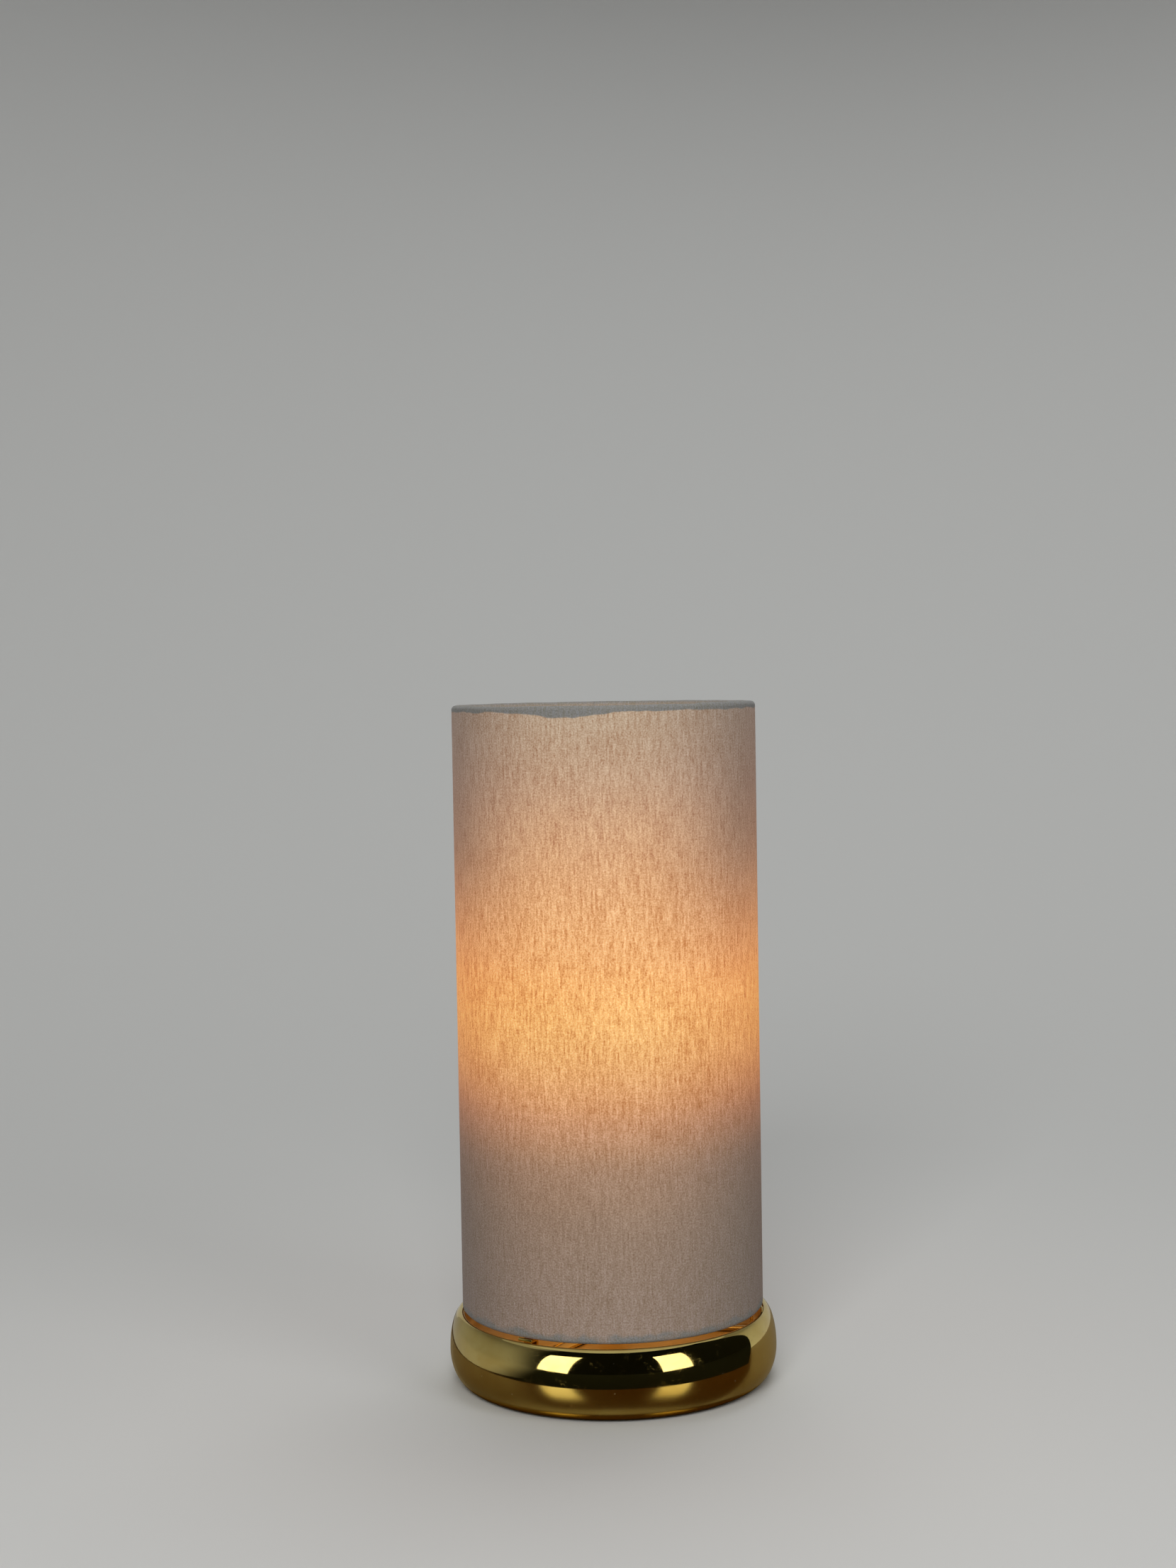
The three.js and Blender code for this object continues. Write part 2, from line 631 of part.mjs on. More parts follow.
// Bulb housing: a spigot in the screw cap, a flared body and a flange under the dome
function bulbHousing() {
  const spigotFoot = housingBottom - HOUSING_SPIGOT;
  const flare = domeFootRadius - threadRadius;
  const flangeBottom = housingTop - HOUSING_WALL;
  const flangeBore = ledBoardRadius - LED_SIZE;
  const insideCentre = [domeFootRadius - HOUSING_WALL, housingBottom + HOUSING_WALL];
  const insideFlare = insideCentre[0] - housingSpigotBore;
  const insideRise = flangeBottom - insideCentre[1];
  const flangeAngle = THREE.MathUtils.radToDeg(Math.acos((insideCentre[0] - flangeBore) / insideFlare));
  return turnedRing(
    [
      [housingSpigotBore, spigotFoot],
      [housingSpigotRadius, spigotFoot],
      [housingSpigotRadius, housingBottom],
      ...arc([domeFootRadius, housingBottom], -flare, HOUSING_HEIGHT, 0, 90),
      [flangeBore, housingTop],
      [flangeBore, flangeBottom],
      ...arc(insideCentre, -insideFlare, insideRise, flangeAngle, 0),
    ],
    SMALL_SIDES,
  );
}

// Driver board: it stands in the housing's spigot and reaches up to the lamp board
function bulbDriverBoard() {
  const half = DRIVER_BOARD_THICKNESS / 2;
  const halfWidth = Math.sqrt((housingSpigotBore * Math.cos(Math.PI / SMALL_SIDES) - FIT) ** 2 - half ** 2);
  const bottom = housingBottom - HOUSING_SPIGOT;
  return box([-halfWidth, -half, bottom], [halfWidth, half, housingTop]);
}

// Lamp board: an aluminium disc on the housing's flange, with a ring of light sources
function bulbLedBoard() {
  const bottom = housingTop + FIT;
  const top = bottom + LED_BOARD_THICKNESS;
  const half = LED_SIZE / 2;
  const sources = Array.from({ length: LED_COUNT }, (_, index) => {
    const low = [ledRingRadius - half, -half, bottom + FIT];
    const high = [ledRingRadius + half, half, top + LED_HEIGHT];
    return box(low, high).rotateZ((2 * Math.PI * index) / LED_COUNT);
  });
  return joined(rod(ledBoardRadius, bottom, top), ...sources);
}

// Bulb diffuser: a hollow opal dome, a ball cut off where it stands on the housing
function bulbDiffuser() {
  const footAngle = THREE.MathUtils.radToDeg(Math.asin((domeBottom - domeCentre) / domeRadius));
  const innerRadius = domeRadius - DOME_WALL;
  const innerAngle = THREE.MathUtils.radToDeg(Math.asin((domeBottom - domeCentre) / innerRadius));
  const inside = arc([0, domeCentre], innerRadius, innerRadius, 90, innerAngle);
  const outside = arc([0, domeCentre], domeRadius, domeRadius, footAngle, 90);
  return turned([...inside, ...outside], SMALL_SIDES);
}

// Shade fabric: a straight cover, rolled inwards round the wire ring at both ends
function shadeFabric() {
  const upper = [ringRadius, upperRingHeight];
  const lower = [ringRadius, lowerRingHeight];
  const tuckTop = lowerRingHeight + HEM_TUCK;
  const tuckBottom = upperRingHeight - HEM_TUCK;
  return turnedRing([
    [ringRadius - hemRoll, tuckTop],
    ...round(lower, hemRoll, 180, 360),
    ...round(upper, hemRoll, 0, 180),
    [ringRadius - hemRoll, tuckBottom],
    [ringRadius - hemBore, tuckBottom],
    ...round(upper, hemBore, 180, 0),
    ...round(lower, hemBore, 360, 180),
    [ringRadius - hemBore, tuckTop],
  ]);
}

// Shade liner: the stiff sheet behind the fabric, from ring to ring
function shadeLiner() {
  const outerRadius = shadeRadius - FABRIC_THICKNESS - FIT;
  const bottom = lowerRingHeight + wireRadius + FIT;
  const top = upperRingHeight - wireRadius - FIT;
  return tube(outerRadius, outerRadius - LINER_THICKNESS, bottom, top, ROUND_SIDES);
}

// Shade ring: a round wire inside a hem
function shadeRing(height) {
  return new THREE.TorusGeometry(ringRadius, wireRadius, WIRE_SIDES, ROUND_SIDES).translate(0, 0, height);
}

// The lamp: each piece by its name, its stuff and its shape
const lamp = new THREE.Group();

function place(name, stuff, geometry) {
  const [color, roughness, metalness] = STUFFS[stuff];
  const mesh = new THREE.Mesh(geometry, new THREE.MeshStandardMaterial({ color, roughness, metalness }));
  mesh.name = name;
  lamp.add(mesh);
}

place("base_shell", "polishedBrass", baseShell());
place("felt_pad", "greenFelt", rod(ballastRadius - FELT_MARGIN, 0, FELT_THICKNESS, ROUND_SIDES));
place("ballast", "castIron", ballast());
place("cord_grommet", "blackPlastic", cordGrommet());
place("threaded_tube", "zincSteel", tube(tubeRadius, tubeRadius - TUBE_WALL, tubeBottom, tubeTop));
place("bottom_washer", "zincSteel", washer(bottomWasherTop - WASHER_THICKNESS));
place("bottom_nut", "zincSteel", nut(bottomNutTop - NUT_HEIGHT));
place("shade_carrier", "polishedBrass", shadeCarrier());
place("deck_washer", "polishedBrass", washer(deckWasherBottom));
place("deck_nut", "polishedBrass", nut(deckNutBottom));
place("stem_sleeve", "polishedBrass", tube(tubeHole + SLEEVE_WALL, tubeHole, sleeveBottom, sleeveTop));

place("holder_cap", "whitePlastic", holderCap());
place("holder_grub_screw", "zincSteel", holderGrubScrew());
place("holder_insert", "whiteCeramic", holderInsert());
place("center_contact", "contactBrass", centerContact());
place("side_contact", "contactBrass", sideContact());
place("terminal_screw_live", "contactBrass", terminalScrew(-1));
place("terminal_screw_neutral", "zincSteel", terminalScrew(1));
place("holder_skirt", "whitePlastic", holderSkirt());

place("bulb_contact_tip", "zincSteel", bulbContactTip());
place("bulb_insulator", "blackPlastic", bulbInsulator());
place("bulb_screw_cap", "zincSteel", bulbScrewCap());
place("bulb_housing", "whitePlastic", bulbHousing());
place("bulb_driver_board", "circuitBoard", bulbDriverBoard());
place("bulb_led_board", "aluminium", bulbLedBoard());
place("bulb_diffuser", "opalPlastic", bulbDiffuser());

place("shade_fabric", "linen", shadeFabric());
place("shade_liner", "linerSheet", shadeLiner());
place("shade_bottom_ring", "whiteWire", shadeRing(lowerRingHeight));
place("shade_top_ring", "whiteWire", shadeRing(upperRingHeight));

export default lamp;
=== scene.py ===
import math

import bmesh
import bpy
import numpy as np
from mathutils import Matrix, Vector


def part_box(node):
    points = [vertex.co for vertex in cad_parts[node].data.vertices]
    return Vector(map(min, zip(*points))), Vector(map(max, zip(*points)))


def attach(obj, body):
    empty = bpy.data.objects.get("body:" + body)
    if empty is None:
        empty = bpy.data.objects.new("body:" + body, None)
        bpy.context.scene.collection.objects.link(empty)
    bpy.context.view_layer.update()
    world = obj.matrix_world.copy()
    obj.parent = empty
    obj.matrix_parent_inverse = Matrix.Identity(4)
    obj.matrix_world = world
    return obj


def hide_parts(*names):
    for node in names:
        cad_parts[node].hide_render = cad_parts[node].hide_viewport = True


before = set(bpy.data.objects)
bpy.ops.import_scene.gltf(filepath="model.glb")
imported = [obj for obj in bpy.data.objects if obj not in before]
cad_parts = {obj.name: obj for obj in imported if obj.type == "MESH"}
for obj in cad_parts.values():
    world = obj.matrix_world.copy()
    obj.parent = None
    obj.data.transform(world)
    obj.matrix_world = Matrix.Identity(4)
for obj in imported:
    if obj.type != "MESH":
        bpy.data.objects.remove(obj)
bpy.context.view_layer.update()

# Camera
# It stands in front of the lamp, just above the shade's rim, and looks a little down and a little askew.
# Its lens covers the whole upright frame of the photograph.
eye_point = Vector((0.0, -1.1657, 0.3532))
nod, swing, tilt = 0.0481, -0.0069, -0.0167  # radians
frame_height_px, focal_px = 2212, 3323
ahead = Vector((math.sin(swing) * math.cos(nod), math.cos(swing) * math.cos(nod), -math.sin(nod)))
level = Vector((math.cos(swing), -math.sin(swing), 0))
upright = level.cross(ahead)
across = math.cos(tilt) * level + math.sin(tilt) * upright
top_side = math.cos(tilt) * upright - math.sin(tilt) * level
lens = bpy.data.cameras.new("camera")
lens.sensor_fit = "VERTICAL"
lens.sensor_height = 36
lens.lens = lens.sensor_height * focal_px / frame_height_px
camera = bpy.data.objects.new("camera", lens)
camera.matrix_world = Matrix.Translation(eye_point) @ Matrix((across, top_side, -ahead)).transposed().to_4x4()
bpy.context.scene.collection.objects.link(camera)
bpy.context.scene.camera = camera
bpy.context.scene.view_settings.view_transform = "Standard"

# Studio
# One sheet of pale gray paper, flat under the lamp and swept up all round it, under soft lights.
# A brown board, a black card and two bright panels stand there for the polished brass alone to mirror.


def add_node(tree, kind, inputs=None, **settings):
    """A shader node with its settings; an input is a plain value or another node's output."""
    made = tree.nodes.new(kind)
    for name, value in settings.items():
        setattr(made, name, value)
    for name, value in (inputs or {}).items():
        if isinstance(value, bpy.types.NodeSocket):
            tree.links.new(value, made.inputs[name])
        else:
            made.inputs[name].default_value = value
    return made


def new_finish(name, color, roughness, metallic=0.0):
    """A material with a plain shader; returns the material, its node tree and its shader."""
    material = bpy.data.materials.new(name)
    material.use_nodes = True
    tree = material.node_tree
    shader = tree.nodes["Principled BSDF"]
    shader.inputs["Base Color"].default_value = (*color, 1)
    shader.inputs["Roughness"].default_value = roughness
    shader.inputs["Metallic"].default_value = metallic
    return material, tree, shader


crisp_angle, weld_gap = 35, 1e-7  # degrees and metres


def smoothed(piece, crease=crisp_angle):
    """Smooth shading with crisp edges, and points that coincide joined into one."""
    work = bmesh.new()
    work.from_mesh(piece.data)
    bmesh.ops.remove_doubles(work, verts=work.verts, dist=weld_gap)
    work.to_mesh(piece.data)
    work.free()
    piece.data.polygons.foreach_set("use_smooth", [True] * len(piece.data.polygons))
    piece.data.set_sharp_from_angle(angle=math.radians(crease))


def mesh_piece(name, points, faces, material, corner_uvs=None, crease=crisp_angle):
    """A smooth mesh object; edges sharper than the crease angle, in degrees, stay crisp."""
    mesh = bpy.data.meshes.new(name)
    mesh.from_pydata([tuple(p) for p in points], [], [tuple(f) for f in faces])
    if corner_uvs is not None:
        layer = mesh.uv_layers.new(name="lay")
        layer.data.foreach_set("uv", np.asarray(corner_uvs, np.float32).ravel())
    mesh.materials.append(material)
    piece = bpy.data.objects.new(name, mesh)
    bpy.context.scene.collection.objects.link(piece)
    smoothed(piece, crease)
    return piece


def run_along(path):
    """How far along a path of points each of them lies."""
    return np.concatenate([[0], np.cumsum(np.linalg.norm(np.diff(path, axis=0), axis=1))])


def net_piece(name, points, along, run, material, closed, crease=crisp_angle):
    """A mesh of rows and columns of points; along and run are their places on the flat sheet."""
    rows, columns = points.shape[:2]
    spans = columns if closed else columns - 1
    row, column = (a.ravel() for a in np.meshgrid(np.arange(rows - 1), np.arange(spans), indexing="ij"))
    after = (column + 1) % columns
    near, far = row * columns, (row + 1) * columns
    faces = np.stack([near + column, near + after, far + after, far + column], 1)
    u = np.stack([along[column], along[column + 1], along[column + 1], along[column]], 1)
    v = np.stack([run[row], run[row], run[row + 1], run[row + 1]], 1)
    return mesh_piece(name, points.reshape(-1, 3), faces, material, np.stack([u, v], -1), crease)


def turned(name, profile, sides, material, ring=True, reshape=None, place=None):
    """A profile of (radius, height) points turned about Z; a ring's last point joins its first."""
    path = np.array(profile + profile[:1] if ring else profile, float)
    angles = math.pi / 2 + 2 * math.pi * np.arange(sides) / sides
    radius = np.repeat(path[:, :1], sides, 1)
    height = np.repeat(path[:, 1:], sides, 1)
    if reshape:
        radius = reshape(radius, height, np.repeat(angles[None], len(path), 0))
    points = np.stack([radius * np.cos(angles), radius * np.sin(angles), height], -1)
    if place:
        points = points @ np.array(place.to_3x3()).T + np.array(place.translation)
    along = 2 * math.pi * path[:, 0].max() / sides * np.arange(sides + 1)
    return net_piece(name, points, along, run_along(path), material, closed=True)


def remapped(tree, value, low, high, to_low=0.0, to_high=1.0, kind="LINEAR"):
    """A value moved from one range to another and held inside it; a bound may be another node's output."""
    inputs = {"Value": value, "From Min": low, "From Max": high, "To Min": to_low, "To Max": to_high}
    return add_node(tree, "ShaderNodeMapRange", inputs, interpolation_type=kind).outputs[0]


def sums(tree, kind, first, second):
    """One sum, product or other plain operation on two values."""
    return add_node(tree, "ShaderNodeMath", {0: first, 1: second}, operation=kind).outputs[0]


def backdrop_tone(tree, seen, thrown):
    """A backdrop's tone: one as it is seen, also in metal or glass, and one as it lights the lamp."""
    ray = add_node(tree, "ShaderNodeLightPath").outputs
    share = ray["Is Camera Ray"]
    for kind in ("Is Glossy Ray", "Is Transmission Ray"):
        share = sums(tree, "MAXIMUM", share, ray[kind])
    tones = {0: share, 6: (*thrown, 1), 7: (*seen, 1)}
    return add_node(tree, "ShaderNodeMix", tones, data_type="RGBA").outputs[2]


paper_tone, paper_throw, paper_roughness = (0.77, 0.765, 0.735), (0.22, 0.21, 0.20), 0.6
paper_stuff, paper_tree, paper_shader = new_finish("pale_paper", paper_tone, paper_roughness)
paper_shader.inputs["Specular IOR Level"].default_value = 0.0
paper_tree.links.new(backdrop_tone(paper_tree, paper_tone, paper_throw), paper_shader.inputs["Base Color"])
middle_radius, flat_radius, sweep_radius, sweep_rise, paper_top = 0.3, 0.45, 2.5, 1.7, 2.6
paper_drop = 0.0002
paper_profile = [(0, 0), (middle_radius, 0)]
for share in np.linspace(0, 1, 48):
    paper_profile.append((flat_radius + (sweep_radius - flat_radius) * share, sweep_rise * share**3))
paper_profile.append((sweep_radius, paper_top))
paper_sweep = turned("paper_sweep", paper_profile, 128, paper_stuff, ring=False)
paper_sweep.location.z = -paper_drop

mirror_height = 0.026


def seen_from_base(azimuth, elevation, distance):
    """A point that the base's front sees at angles in degrees; azimuth 0 is the camera's side, + to +X."""
    a, e = math.radians(azimuth), math.radians(elevation)
    step = Vector((math.sin(a) * math.cos(e), -math.cos(a) * math.cos(e), math.sin(e)))
    return Vector((0, 0, mirror_height)) + distance * step


def reflected_only(card):
    """A card that shows in polished surfaces and nowhere else."""
    card.visible_camera = False
    card.visible_diffuse = False
    card.visible_shadow = False
    card.visible_transmission = False


board_radius, board_shift, board_lift = 0.27, 0.12, 0.0002
board_brown, board_roughness = (0.105, 0.040, 0.003), 0.27
board_place = Matrix.Translation((board_shift, 0, board_lift))
board_stuff, _, board_shader = new_finish("brown_board", board_brown, board_roughness)
board_shader.inputs["IOR"].default_value = 3.8
board_shader.inputs["Specular Tint"].default_value = (1, 0.92, 0.60, 1)
board_profile = [(0, 0), (board_radius, 0)]
reflected_only(turned("brown_board", board_profile, 96, board_stuff, ring=False, place=board_place))

card_black = (0.013, 0.014, 0.010)
black_stuff, black_tree, black_shader = new_finish("black_card", card_black, 1.0)
black_shader.inputs["Specular IOR Level"].default_value = 0.0
spot = add_node(black_tree, "ShaderNodeNewGeometry").outputs["Position"]
axes = add_node(black_tree, "ShaderNodeSeparateXYZ", {0: spot}).outputs
bearing = sums(black_tree, "ARCTAN2", axes["X"], sums(black_tree, "MULTIPLY", axes["Y"], -1.0))
thin_end, full_end, thin_share = math.radians(-79), math.radians(-47), 0.35
solid_share = remapped(black_tree, bearing, thin_end, full_end, thin_share, 1.0, "SMOOTHSTEP")
black_tree.links.new(solid_share, black_shader.inputs["Alpha"])
card_columns = 90
card_lift, card_left = 0.0004, -150
card_edges = [  # radius, height, and the azimuth of its right end from the camera's side
    (0.145, card_lift, 80),
    (flat_radius, card_lift, 102),
    (0.85, 0.014, 106),
    (2.4, 3.9, 106),
]
card_points = []
for radius, height, card_right in card_edges:
    for a in np.radians(np.linspace(card_left, card_right, card_columns)):
        card_points.append((radius * math.sin(a), -radius * math.cos(a), height))
card_rows = range(len(card_edges) - 1)
card_corners = [row * card_columns + column for row in card_rows for column in range(card_columns - 1)]
card_faces = [(i, i + 1, i + card_columns + 1, i + card_columns) for i in card_corners]
reflected_only(mesh_piece("black_card", card_points, card_faces, black_stuff))

panel_light, panel_white, panel_distance = 2.5, (1, 0.985, 0.95, 1), 0.78
panel_stuff, _, panel_shader = new_finish("bright_panel", (0, 0, 0), 1.0)
panel_shader.inputs["Emission Color"].default_value = panel_white
panel_shader.inputs["Emission Strength"].default_value = panel_light
panel_corners = {
    "left_panel": [(-51, 0.0), (-30, -1.0), (-22, 28), (-45, 27)],
    "right_panel": [(32, -1.0), (53, 0.0), (48, 27), (27, 25)],
}
for panel_name, corners in panel_corners.items():
    panel_points = [seen_from_base(azimuth, elevation, panel_distance) for azimuth, elevation in corners]
    reflected_only(mesh_piece(panel_name, panel_points, [(0, 1, 2, 3)], panel_stuff))

daylight = (0.96, 0.98, 1.0)


def soft_light(name, place, aim, size, power):
    """A square soft light that lights the set and isn't mirrored in the brass."""
    lamp = bpy.data.lights.new(name, "AREA")
    lamp.size = size
    lamp.energy = power
    lamp.color = daylight
    stand = bpy.data.objects.new(name, lamp)
    stand.location = place
    stand.rotation_euler = (Vector(aim) - Vector(place)).to_track_quat("-Z", "Y").to_euler()
    stand.visible_camera = False
    stand.visible_glossy = False
    bpy.context.scene.collection.objects.link(stand)


soft_light("front_light", place=(-0.25, -2.0, 1.05), aim=(0, 0, 0.2), size=1.0, power=36)
soft_light("side_light", place=(1.2, -1.3, 1.2), aim=(0, 0, 0.15), size=0.8, power=5)
soft_light("top_light", place=(0.2, 0.9, 2.1), aim=(0, 0, 0.1), size=1.4, power=13)
sky_tone, sky_throw = (0.42, 0.44, 0.47), (0.194, 0.197, 0.2)
sky = bpy.data.worlds.new("sky")
bpy.context.scene.world = sky
sky.use_nodes = True
sky_color = backdrop_tone(sky.node_tree, sky_tone, sky_throw)
sky.node_tree.links.new(sky_color, sky.node_tree.nodes["Background"].inputs["Color"])

# Brass base shell
# One disc of brass, spun over a former: a turned-in foot, a bulged wall, a rolled crest and a sunken deck.
# Its outside is polished to a mirror and lacquered, with faint buffing rings, smudges and dust on it; the
# well inside the crest is left satin, as it came off the former, and coloured darker as painted shade.


def arc(centre, across_radius, up_radius, start, end, steps):
    """Profile points along an ellipse, from one angle in degrees to another."""
    angles = np.radians(np.linspace(start, end, steps + 1))
    return [(centre[0] + across_radius * math.cos(a), centre[1] + up_radius * math.sin(a)) for a in angles]


def place_noise(tree, source, grain, detail=3.0, stir=0.0):
    """A noise pattern; grain is its length in metres along each axis of the source coordinates."""
    scaled = add_node(tree, "ShaderNodeMapping", {"Vector": source, "Scale": [1 / g for g in grain]})
    inputs = {"Vector": scaled.outputs[0], "Scale": 1.0, "Detail": detail, "Distortion": stir}
    return add_node(tree, "ShaderNodeTexNoise", inputs).outputs[0]


def mixed(tree, share, first, second, blend="MIX"):
    """Two colours mixed by a share from 0 to 1; a colour is three numbers or another node's output."""
    made = add_node(tree, "ShaderNodeMix", {0: share}, data_type="RGBA", blend_type=blend)
    for socket, value in ((made.inputs[6], first), (made.inputs[7], second)):
        if isinstance(value, bpy.types.NodeSocket):
            tree.links.new(value, socket)
        else:
            socket.default_value = (*value, 1)
    return made.outputs[2]


def relief(tree, shader, height, depth, strength=1.0):
    """Fine relief from a height pattern whose full swing is the depth, in metres."""
    bump = add_node(tree, "ShaderNodeBump", {"Strength": strength, "Distance": depth, "Height": height})
    tree.links.new(bump.outputs[0], shader.inputs["Normal"])


def own_place(tree):
    """The piece's own coordinates, in metres, in the lamp's frame."""
    return add_node(tree, "ShaderNodeTexCoord").outputs["Object"]


def away_from(tree, value, line):
    """How far a value lies from a line, on either side of it."""
    offset = sums(tree, "SUBTRACT", value, line)
    return add_node(tree, "ShaderNodeMath", {0: offset}, operation="ABSOLUTE").outputs[0]


ring_grain, smudge_grain = (0.05, 0.05, 0.0004), (0.014, 0.014, 0.009)
ring_depth, ring_strength = 0.000004, 0.35
hairline_grain, rub_grain, rubbed_above = (0.006, 0.006, 0.003), (0.008, 0.008, 0.008), 0.57
hairline_width, hairline_roughness = 0.004, 0.25
dust_cells_per_metre, speck_radius, dust_gray, dust_roughness = 330.0, 0.06, (0.30, 0.28, 0.24), 0.9


def spun_brass(name, color, tarnish, gloss, dust_share):
    """Spun brass: rings round the axis, smudges between two roughnesses, hairlines, tarnish and some dust."""
    material, tree, shader = new_finish(name, color, gloss[0], metallic=1.0)
    place = own_place(tree)
    rings = place_noise(tree, place, ring_grain, 4.0)
    smudge = place_noise(tree, place, smudge_grain, 5.0, 0.6)
    scatter = {"Vector": place, "Scale": dust_cells_per_metre}
    cells = add_node(tree, "ShaderNodeTexVoronoi", scatter, feature="F1")
    draw = add_node(tree, "ShaderNodeSeparateColor", {0: cells.outputs["Color"]}).outputs[0]
    speck = sums(tree, "LESS_THAN", cells.outputs["Distance"], speck_radius)
    dust = sums(tree, "MULTIPLY", sums(tree, "LESS_THAN", draw, dust_share), speck)
    tone = mixed(tree, remapped(tree, smudge, 0.38, 0.72), color, tarnish)
    tree.links.new(mixed(tree, dust, tone, dust_gray), shader.inputs["Base Color"])
    smear = remapped(tree, smudge, 0.45, 0.75, *gloss)
    wear = sums(tree, "ADD", smear, remapped(tree, rings, 0.3, 0.7, 0.0, gloss[0] / 2))
    drift = away_from(tree, place_noise(tree, place, hairline_grain), 0.5)
    rubbed = sums(tree, "GREATER_THAN", place_noise(tree, place, rub_grain), rubbed_above)
    hairline = sums(tree, "MULTIPLY", sums(tree, "LESS_THAN", drift, hairline_width), rubbed)
    wear = sums(tree, "MAXIMUM", wear, sums(tree, "MULTIPLY", hairline, hairline_roughness))
    wear = sums(tree, "MAXIMUM", wear, sums(tree, "MULTIPLY", dust, dust_roughness))
    tree.links.new(wear, shader.inputs["Roughness"])
    tree.links.new(sums(tree, "SUBTRACT", 1.0, dust), shader.inputs["Metallic"])
    relief(tree, shader, rings, ring_depth, ring_strength)
    return material


def drilled(piece, radius, start, end, sides, place):
    """The piece with a round hole bored in it, from one distance along the drill's axis to another."""
    bit = [(0, start), (radius, start), (radius, end), (0, end)]
    cutter = turned("drill", bit, sides, piece.data.materials[0], ring=False, place=place)
    hole = piece.modifiers.new("hole", "BOOLEAN")
    hole.object = cutter
    hole.solver = "EXACT"
    bpy.context.view_layer.update()
    solved = bpy.data.meshes.new_from_object(piece.evaluated_get(bpy.context.evaluated_depsgraph_get()))
    piece.modifiers.clear()
    piece.data = solved
    bpy.data.objects.remove(cutter)
    smoothed(piece)


def fit_in(piece, body, slot, *nodes):
    """The piece rides on its body and stands for these CAD nodes, which it hides; slot is not used."""
    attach(piece, body)
    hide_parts(*nodes)


shell_low, shell_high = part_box("base_shell")
belly_radius, base_height, foot_lift = shell_high.x, shell_high.z, shell_low.z
belly_height, bulge, foot_inset, foot_turn = 0.017, 0.00575, 0.009, 0.003
crest_radius, crest_roll = belly_radius - bulge, 0.002
deck_top, deck_fillet, shell_wall, tube_hole = 0.024, 0.0035, 0.001, 0.0053
foot_radius = belly_radius - foot_inset
mirror_gold, mirror_tarnish, mirror_gloss = (0.80, 0.62, 0.21), (0.72, 0.52, 0.15), (0.03, 0.09)
# The well's satin colours are darker than the mirror's: a real satin finish plus painted shade in the well.
shaded_satin_gold, shaded_satin_tarnish, satin_gloss = (0.60, 0.43, 0.17), (0.48, 0.33, 0.12), (0.30, 0.42)
lacquered_brass = spun_brass("lacquered_brass", mirror_gold, mirror_tarnish, mirror_gloss, dust_share=0.10)
shaded_satin_brass = spun_brass("shaded_satin_brass", shaded_satin_gold, shaded_satin_tarnish, satin_gloss, dust_share=0.03)


def shell_face(inset):
    """The shell's profile from the foot's turned edge to the hole in the deck, moved in by an inset."""
    lower = arc((foot_radius, belly_height), foot_inset - inset, belly_height - foot_lift - inset, -90, 0, 40)
    upper = arc((crest_radius, belly_height), bulge - inset, base_height - belly_height - inset, 0, 90, 48)
    roll = arc((crest_radius, base_height - crest_roll), crest_roll - inset, crest_roll - inset, 90, 180, 16)
    fillet_radius = deck_fillet + inset
    fillet_centre = (crest_radius - crest_roll - deck_fillet, deck_top + deck_fillet)
    fillet = arc(fillet_centre, fillet_radius, fillet_radius, 0, -90, 12)
    edge = [(foot_radius - foot_turn, foot_lift + inset)]
    return edge + lower + upper[1:] + roll[1:] + fillet + [(tube_hole, deck_top - inset)]


base_shell = turned("base_shell_brass", shell_face(0) + shell_face(shell_wall)[::-1], 320, lacquered_brass)
inlet_radius, inlet_start, inlet_end = 0.005, 0.06, 0.1
to_the_back = Matrix.Translation((0, 0, belly_height)) @ Matrix.Rotation(-math.pi / 2, 4, "X")
drilled(base_shell, inlet_radius, inlet_start, inlet_end, 48, to_the_back)
base_shell.data.materials.append(shaded_satin_brass)
well_top, well_radius = base_height - crest_roll, crest_radius - shell_wall
for face in base_shell.data.polygons:
    if belly_height < face.center.z < well_top and face.center.xy.length < well_radius:
        face.material_index = 1
fit_in(base_shell, "base", "polished_brass", "base_shell")

# Ballast and felt pad
# A sand-cast iron disc, painted against rust, weighs the base down.
# A disc of green wool felt, cut with a knife and glued under the ballast, guards what the lamp stands on.
clump, clump_share = 9, 0.55  # a clump is this many grains across


def mottled(name, color, shade, roughness, grain, metallic=0.0, depth=0.0, strength=0.6, stir=0.0):
    """A finish that wanders between two colours and two roughnesses, with a relief of the same grain."""
    material, tree, shader = new_finish(name, color, roughness[0], metallic)
    place = own_place(tree)
    coarse = place_noise(tree, place, (grain * clump,) * 3, 4.0, stir)
    fine = place_noise(tree, place, (grain,) * 3, 5.0)
    clumps = sums(tree, "MULTIPLY", coarse, clump_share)
    blend = sums(tree, "ADD", clumps, sums(tree, "MULTIPLY", fine, 1 - clump_share))
    tree.links.new(mixed(tree, remapped(tree, blend, 0.36, 0.64), shade, color), shader.inputs["Base Color"])
    tree.links.new(remapped(tree, blend, 0.35, 0.65, *roughness), shader.inputs["Roughness"])
    if depth:
        relief(tree, shader, fine, depth, strength)
    return material


def dress(node, material):
    """A CAD node keeps its shape and gets a finish of its own."""
    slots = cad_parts[node].data.materials
    slots.clear()
    slots.append(material)


iron_gray, iron_dark = (0.060, 0.058, 0.055), (0.028, 0.026, 0.025)
cast_iron = mottled("cast_iron", iron_gray, iron_dark, (0.9, 0.65), grain=0.0006, metallic=0.5, depth=0.0002)
dress("ballast", cast_iron)

